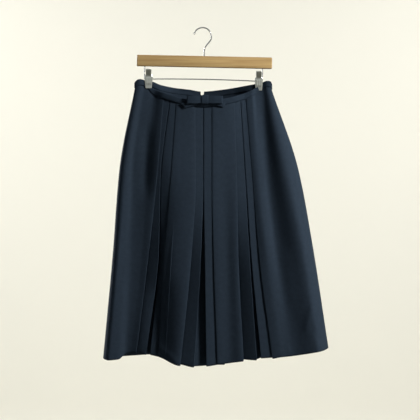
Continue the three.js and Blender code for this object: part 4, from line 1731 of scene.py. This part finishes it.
@dataclass(frozen=True)
class Zip:
    """The zip in the centre back seam: tape, teeth, slider, pull tab and stop.

    hinge is the line that the pull tab swings on, and stand is how far it stands off the tape.
    """

    length: float = 178.0
    start: float = 0.004
    tape_start: float = 0.002
    tape_half: float = 11.0
    tape_wall: float = 0.6
    tape_depth: float = 1.2
    tape_rows: int = 30
    tape_columns: int = 8
    tooth_pitch: float = 1.5
    tooth_half: float = 1.5
    tooth_overlap: float = 0.5
    tooth_height: float = 0.9
    tooth_taper: float = 0.22
    tooth_depths: Place = (-0.4, 0.35, 0.75)
    hinge: Place = (-0.874, 34.953, -181.061)
    stand: float = 2.3
    slider_share: float = 0.013
    slider_length: float = 11.0
    slider_width: float = 7.5
    slider_taper: float = 1.1
    plate: float = 1.2
    plate_edge: float = 0.3
    bail_wire: float = 0.42
    pull_width: float = 6.0
    pull_length: float = 22.0
    pull_wall: float = 0.9
    pull_edge: float = 0.22
    web_share: float = 0.45
    web_height: float = 6.3
    window: float = 5.0
    window_half: float = 1.3
    stop_size: Place = (4.4, 1.4, 2.2)
    stop_edge: float = 0.4

    @cached_property
    def share(self) -> float:
        """How far down the centre back the zip reaches."""
        line = BACK_LINES[CENTRE]
        return self.length / (BACK.height(line.x[0], line.x[3], 0.0) - line.hem)

    def tape(self) -> bpy.types.Object:
        """The woven tape behind the opening.

        Returns:
            The new object.
        """
        asides = evenly(-self.tape_half, self.tape_half, self.tape_columns)
        rows: list[list[Place]] = []
        for share in evenly(self.tape_start, self.share, self.tape_rows):
            row = [centre_back(share, aside) for aside in asides]
            rows.append([(x, y - self.tape_depth, z) for x, y, z in row])
        return shell("zip_tape_cloth", rows, self.tape_wall, TAPE)

    def teeth(self) -> bpy.types.Object:
        """The two rows of nylon teeth, meshed along the middle.

        Returns:
            The new object.
        """
        points: list[Place] = []
        faces: Faces = []
        count = round(self.length / self.tooth_pitch)
        half = self.tooth_height / 2
        for k in range(count):
            x, y, z = centre_back(mix(self.start, self.share, k / count))
            for side in Side:
                middle = z - (self.tooth_pitch / 2 if side is Side.RIGHT else 0.0)
                x0, x1 = sorted((x - side.value * self.tooth_overlap, x + side.value * self.tooth_half))
                faces += [tuple(len(points) + corner for corner in face) for face in tube_faces(3, 4)]
                for depth, taper in zip(self.tooth_depths, (0.0, 0.0, self.tooth_taper)):
                    low, high = middle - half + taper, middle + half - taper
                    points += [(x0 + taper, y + depth, low), (x1 - taper, y + depth, low),
                               (x1 - taper, y + depth, high), (x0 + taper, y + depth, high)]
        made = new_object("zip_teeth", points, faces, soft=False)
        dress(made, NYLON)
        return made

    def fit(self, made: bpy.types.Object) -> bpy.types.Object:
        """Sets a chromed part at the tab's hinge line, leaning with the back.

        Args:
            made: The part, modelled upright about the scene's origin.

        Returns:
            The same object.
        """
        reach = 0.01
        above, below = centre_back(self.slider_share - reach), centre_back(self.slider_share + reach)
        lean = math.atan((below[1] - above[1]) / (above[2] - below[2]))
        made.data.transform(Matrix.Translation(Vector(self.hinge) * MM) @ Matrix.Rotation(lean, 4, "X"))
        soften(made, 40)
        dress(made, CHROME)
        return made

    def slider(self) -> bpy.types.Object:
        """The slider's body, broad at its top, with the bail that holds the pull tab.

        Returns:
            The new object.
        """
        top, half = self.slider_length / 2, self.slider_width / 2
        foot = half - self.slider_taper
        right = [(0.0, top - 1.3), (0.8, top), (half - 1.2, top), (half, top - 1.4), (half - 0.1, top - 4),
                 (foot, 1.4 - top), (foot - 1.2, -top)]
        outline = [*right, *[(-x, z) for x, z in reversed(right[1:])]]
        plate = pressed_plate("slider plate", [outline], self.plate, self.plate_edge)
        plate.data.transform(Matrix.Translation((0, (self.plate / 2 - self.stand) * MM, 0)))
        foot_y = self.plate - self.stand - 0.2
        arch = [(foot_y, -2.8), (0.6, -2.5), (1.35, -1.6), (1.45, 0.0), (1.35, 1.6), (0.6, 2.5),
                (foot_y, 2.8)]
        bail = tube("bail", [(0.0, y, z) for y, z in arch], self.bail_wire, 3)
        return self.fit(join_as("zip_slider_body", [plate, bail]))

    def pull(self) -> bpy.types.Object:
        """The pull tab: a pressed plate with a window for the bail and a thin web in its foot.

        Returns:
            The new object.
        """
        half, low, hole = self.pull_width / 2, 0.6 - self.pull_length, self.window_half
        right = [(half - 1.6, low), (half - 0.5, low + 0.6), (half, low + 2), (half, -self.window - 1),
                 (hole + 0.9, 0.55)]
        outline = [*right, *[(-x, z) for x, z in reversed(right)]]
        window = [(-hole, -0.5), (hole, -0.5), (hole, -self.window), (-hole, -self.window)]
        inset, slot_low, slot_high = half - 1.5, low + 2.6, low + 8.5
        slot = [(-inset, slot_high), (inset, slot_high), (inset, slot_low), (-inset, slot_low)]
        plate = pressed_plate("pull plate", [outline, window, slot], self.pull_wall, self.pull_edge)
        web_place = (0.0, 0.0, (slot_low + slot_high) / 2 - 0.05)
        web = box((2 * inset + 0.4, self.pull_wall * self.web_share, self.web_height), web_place)
        return self.fit(join_as("zip_pull_plate", [plate, web]))

    def stop(self) -> bpy.types.Object:
        """The bent strip of metal that ends the rows of teeth.

        Returns:
            The new object.
        """
        x, y, z = centre_back(self.share)
        made = join_as("zip_end_stop", [box(self.stop_size, (x, y + 0.2, z + 0.4), self.stop_edge)])
        soften(made, 40)
        dress(made, CHROME)
        return made


@dataclass(frozen=True)
class WaistHook:
    """The flat hook inside the right end of the back waistband."""

    x: float = 6.5
    z: float = -169.5
    width: float = 6.0
    height: float = 4.0
    wall: float = 0.7
    open: float = 1.5
    behind: float = 1.9

    def build(self) -> bpy.types.Object:
        """A strip of metal folded back on itself, facing into the skirt.

        Returns:
            The new object.
        """
        y = BACK.row(0.0).at(self.x + self.width) - self.behind
        left, right = self.x - self.width / 2, self.x + self.width / 2
        path = [(right, y), (left + 0.6, y), (left, y - 0.4), (left, y - self.open + 0.4),
                (left + 0.6, y - self.open), (self.x + self.width / 4, y - self.open)]
        heights = (self.z + self.height / 2, self.z, self.z - self.height / 2)
        made = new_object("waist_hook_plate", [(*place, z) for z in heights for place in path],
                          grid_faces(len(heights), len(path)))
        thicken(made, self.wall)
        dress(made, CHROME)
        return made


@dataclass(frozen=True)
class Stitching:
    """The sewing that shows, as single stitches of thread.

    edge is how far the stitches lie from a pleat's edge, and far is where the rays that find the cloth start.
    """

    length: float = 2.5
    pitch: float = 3.1
    radius: float = 0.24
    edge: float = 2.4
    start: float = 0.004
    zip_aside: float = 9.0
    zip_below: float = 0.006
    pleat_steps: int = 14
    zip_steps: int = 16
    far: float = 400.0

    def on_cloth(self, cloth: bpy.types.Object, x: float, z: float,
                 facing: Facing) -> tuple[Vector, Vector] | None:
        """The place and normal of a cloth's outer face.

        Args:
            cloth: The cloth.
            x: The place across it.
            z: The place's height.
            facing: Whether the front or the back face is meant.

        Returns:
            The place in millimetres and the normal, or None off the cloth's edge.
        """
        start, way = Vector((x, -facing.value * self.far, z)) * MM, Vector((0, facing.value, 0))
        hit, place, normal, _ = cloth.ray_cast(start, way)
        return (place / MM, normal) if hit else None

    def sew(self, name: str, cloth: bpy.types.Object, lines: Sequence[Sequence[Flat]],
            facing: Facing) -> bpy.types.Object:
        """Rows of stitches along lines on a cloth, each a small spindle half sunk into it.

        Args:
            name: The object's name.
            cloth: The cloth piece that they lie on.
            lines: Rows of x and z.
            facing: Whether they lie on the front or the back of the skirt.

        Returns:
            The new object.
        """
        points: list[Place] = []
        faces: Faces = []
        for line in lines:
            spare = 0.0
            for (x0, z0), (x1, z1) in zip(line, line[1:]):
                length = math.dist((x0, z0), (x1, z1))
                while spare + self.length < length:
                    ends = [
                        self.on_cloth(cloth, mix(x0, x1, run / length), mix(z0, z1, run / length), facing)
                        for run in (spare, spare + self.length)
                    ]
                    spare += self.pitch
                    if None in ends:
                        continue
                    (start, normal), (end, _) = ends
                    across = (end - start).cross(normal).normalized()
                    middle, first = (start + end) / 2, len(points)
                    ring = [middle + self.radius * v for v in (across, normal * 1.1, -across, -normal)]
                    points += [tuple(place) for place in (start, *ring, end)]
                    sides = [(first + 1 + k, first + 1 + (k + 1) % 4) for k in range(4)]
                    faces += [(first, a, b) for a, b in sides] + [(first + 5, b, a) for a, b in sides]
                spare = max(spare - length, 0.0)
        made = new_object(name, points, faces)
        # The stitches take the thread's navy colour with its painted shade.
        dress(made, THREAD_WITH_PAINTED_SHADE)
        return made

    def pleat_lines(self) -> list[list[Flat]]:
        """Where the pleats are edge-stitched: beside every edge, from the waistband to where they open.

        Returns:
            Rows of x and z.
        """
        shares = evenly(self.start, FrontPanel.release, self.pleat_steps)
        edges = [
            (path, side.value * self.edge)
            for pleat in PLEATS
            for side, paths in ((Side.LEFT, (pleat.outer_left, pleat.inner_left)),
                                (Side.RIGHT, (pleat.inner_right, pleat.outer_right)))
            for path in paths
        ]
        return [
            [(along(path, share) + aside, FRONT.height(path[0], path[3], share)) for share in shares]
            for path, aside in edges
        ]

    def zip_lines(self, reach: float) -> list[list[Flat]]:
        """Where the zip is sewn in: down both sides and across below the stop.

        Args:
            reach: How far down the centre back the zip reaches.

        Returns:
            Rows of x and z.
        """
        places = [centre_back(share) for share in evenly(self.start, reach + self.zip_below, self.zip_steps)]
        sides = [[(x + side.value * self.zip_aside, z) for x, _, z in places] for side in Side]
        return [*sides, [sides[0][-1], sides[1][-1]]]


@dataclass(frozen=True)
class Softbox:
    """A square lamp, in metres and watts, its beam narrowed to an angle in degrees."""

    name: str
    place: Place
    aim: Place
    size: float
    power: float
    color: str
    spread: float

    def light(self) -> None:
        """Sets up the lamp, turned toward its aim."""
        data = bpy.data.lights.new(self.name, "AREA")
        data.shape = "SQUARE"
        data.size = self.size
        data.energy = self.power
        data.spread = math.radians(self.spread)
        data.color = linear(self.color)[:3]
        lamp = link(self.name, data)
        lamp.location = self.place
        lamp.rotation_euler = (Vector(self.aim) - Vector(self.place)).to_track_quat("-Z", "Y").to_euler()


@dataclass(frozen=True)
class Studio:
    """The pale paper sweep, the soft lights and the camera at the photo's angle, all in metres."""

    floor_z: float = -1.9
    wall_y: float = 5.6
    wall_top: float = 7.0
    bend: float = 0.4
    bend_steps: int = 12
    near_y: float = -10.5
    half_width: float = 10.5
    middle: Place = (0.0, 0.0, -0.45)
    floor_lamp_z: float = 3.2
    air: str = "f4f6fa"
    air_strength: float = 0.7
    camera_place: Place = (0.0185, -5.028, -0.457)
    camera_reach: float = 60.0
    lens: float = 171.4
    sensor: float = 36.0

    def lamps(self) -> list[Softbox]:
        """Every lamp of the studio.

        Returns:
            A key from the right, a faint fill, a rim, a softbox for the back, and washes for the paper.
        """
        aim, floor = self.middle, [(x, y) for x in (-5.5, 5.5) for y in (-8.5, 0.0)]
        return [
            Softbox("key", (3.42, -1.97, 1.7), aim, 0.7, 14.2, "fffaf2", 38),
            Softbox("front fill", (-1.2, -4.6, 0.6), aim, 2.5, 0.05, "e8f0ff", 60),
            Softbox("left rim", (-3.0, 1.0, 0.2), aim, 1.2, 1.5, "d6e4ff", 60),
            Softbox("paper wash left", (-2.6, 3.2, 1.4), (-0.5, 5.6, -0.75), 2.0, 47, "fffffc", 120),
            Softbox("paper wash right", (2.6, 3.2, 1.4), (0.5, 5.6, -0.75), 2.0, 45, "fffffc", 120),
            Softbox("back softbox", (-3.2, 3.1, 0.8), aim, 1.0, 13, "fffaf2", 38),
            *[Softbox("floor wash", (x, y, self.floor_lamp_z), (x, y, self.floor_z), 3.0, 74, "ffffff", 120)
              for x, y in floor],
        ]

    def paper(self) -> bpy.types.Object:
        """The sweep: a floor that bends up into a wall.

        Returns:
            The new object.
        """
        section = [(self.near_y, self.floor_z), (self.wall_y - self.bend, self.floor_z)]
        for k in range(1, self.bend_steps + 1):
            turned = math.radians(90 * k / self.bend_steps)
            section.append((self.wall_y - self.bend + self.bend * math.sin(turned),
                            self.floor_z + self.bend - self.bend * math.cos(turned)))
        section.append((self.wall_y, self.wall_top))
        ends = (-self.half_width, self.half_width)
        points = [(x / MM, y / MM, z / MM) for y, z in section for x in ends]
        made = new_object("paper sweep", points, grid_faces(len(section), len(ends)))
        dress(made, PAPER)
        return made

    def air_light(self) -> bpy.types.World:
        """A pale surround that the camera and the metal see, but that doesn't light the cloth.

        Returns:
            The new world.
        """
        world = bpy.data.worlds.new("studio")
        world.use_nodes = True
        background = world.node_tree.nodes["Background"]
        background.inputs["Color"].default_value = linear(self.air)
        background.inputs["Strength"].default_value = self.air_strength
        world.cycles_visibility.diffuse = False
        return world

    def camera(self) -> bpy.types.Object:
        """The camera, level and square to the skirt's front.

        Returns:
            The new camera.
        """
        data = bpy.data.cameras.new("camera")
        data.sensor_width = self.sensor
        data.lens = self.lens
        data.clip_end = self.camera_reach
        made = link("camera", data)
        made.location = self.camera_place
        made.rotation_euler = (math.radians(90), 0, 0)
        return made

    def build(self) -> None:
        """Sets up the whole studio."""
        self.paper()
        for lamp in self.lamps():
            lamp.light()
        scene = bpy.context.scene
        scene.world = self.air_light()
        scene.view_settings.view_transform = "Standard"
        scene.camera = self.camera()


@dataclass(frozen=True)
class Cut:
    """A cloth piece's flat size in metres, how it is held, and its flat area where the cut is shaped."""

    width: float
    length: float
    held: Held = Held.HUNG
    rests_on: tuple[str, ...] = ()
    area: float | None = None


@dataclass(frozen=True)
class Skirt:
    """Builds every piece, sets it on its body and hides the solids that it stands for."""

    clips: Flat = (-135.8, 141.3)

    def place(self, made: bpy.types.Object, slot: Slot, *nodes: str, body: Body = Body.SKIRT) -> None:
        """Sets a piece on a body in place of its solids.

        Args:
            made: The piece.
            slot: What it is made of; not used.
            *nodes: The solids that it stands for.
            body: The body that it rides on.
        """
        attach(made, body.value)
        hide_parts(*nodes)
        LOG.info("%s: %d faces", made.name, len(made.data.polygons))

    def cloth(self, made: bpy.types.Object, *nodes: str) -> None:
        """Sets a cloth piece in place of its solids.

        Args:
            made: The piece.
            *nodes: The solids that it stands for.
        """
        self.place(made, Slot.CLOTH, *nodes)

    def garment(self) -> None:
        """Builds the cloth, the bow and the sewing that shows."""
        band, bow, stitching, reach = Waistband(), Bow(), Stitching(), Zip().share
        front = FrontPanel().build("skirt_front")
        self.cloth(front, "front_panel")
        sewing = stitching.sew("pleat_stitching", front, stitching.pleat_lines(), Facing.FRONT)
        self.place(sewing, Slot.CLOTH, "front_panel")
        self.cloth(band.front(), "front_waistband")
        for side in Side:
            nodes = (f"back_panel_{side.label}_upper", f"back_panel_{side.label}_lower")
            back = BackPanel(side=side).build(f"skirt_back_{side.label}")
            self.cloth(back, *nodes)
            lines = stitching.zip_lines(reach)
            sewing = stitching.sew(f"zip_stitching_{side.label}", back, lines, Facing.BACK)
            self.place(sewing, Slot.CLOTH, *nodes)
            self.cloth(band.back(side), f"back_waistband_{side.label}")
            self.cloth(bow.loop(side), f"bow_loop_{side.label}")
            self.cloth(bow.tail(side), f"bow_tail_{side.label}")
        self.cloth(bow.knot(), "bow_knot")

    def fastenings(self) -> None:
        """Builds the zip and the hook at the waist."""
        zipper = Zip()
        self.cloth(zipper.tape(), "zip_tape")
        self.place(zipper.teeth(), Slot.ZIP_TAPE, "zip_coil")
        self.place(zipper.stop(), Slot.ZIP_TAPE, "zip_coil")
        self.place(zipper.slider(), Slot.PLATED_METAL, "zip_slider")
        self.place(zipper.pull(), Slot.PLATED_METAL, "zip_pull_tab", body=Body.ZIP_PULL)
        self.place(WaistHook().build(), Slot.PLATED_METAL, "waist_hook")

    def hanger(self) -> None:
        """Builds the hanger and its clips."""
        hanger = Hanger()
        self.place(hanger.bar(), Slot.WOOD, "hanger_bar")
        self.place(hanger.hook(), Slot.STEEL, "hanger_hook")
        self.place(hanger.rod(), Slot.STEEL, "clip_rod")
        for side, x in zip(Side, self.clips):
            name, clip = f"clip_{side.label}", Clip(x, hanger.clip_height(x))
            for facing in Facing:
                jaw = clip.jaw(facing, f"{name}_{facing.label}_plate")
                self.place(jaw, Slot.STEEL, f"{name}_{facing.label}_jaw")
            self.place(clip.spring(f"{name}_coil"), Slot.STEEL, f"{name}_spring")


def main(frame: dict) -> None:
    """Builds the look, the studio and the camera.
    """
    logging.basicConfig(level=logging.INFO, format="%(message)s")
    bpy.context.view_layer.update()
    LOG.info("the frame gives %s", ", ".join(sorted(frame)))
    skirt = Skirt()
    skirt.garment()
    skirt.fastenings()
    skirt.hanger()
    Studio().build()


if __name__ == "__main__":
    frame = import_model()
    main(frame)
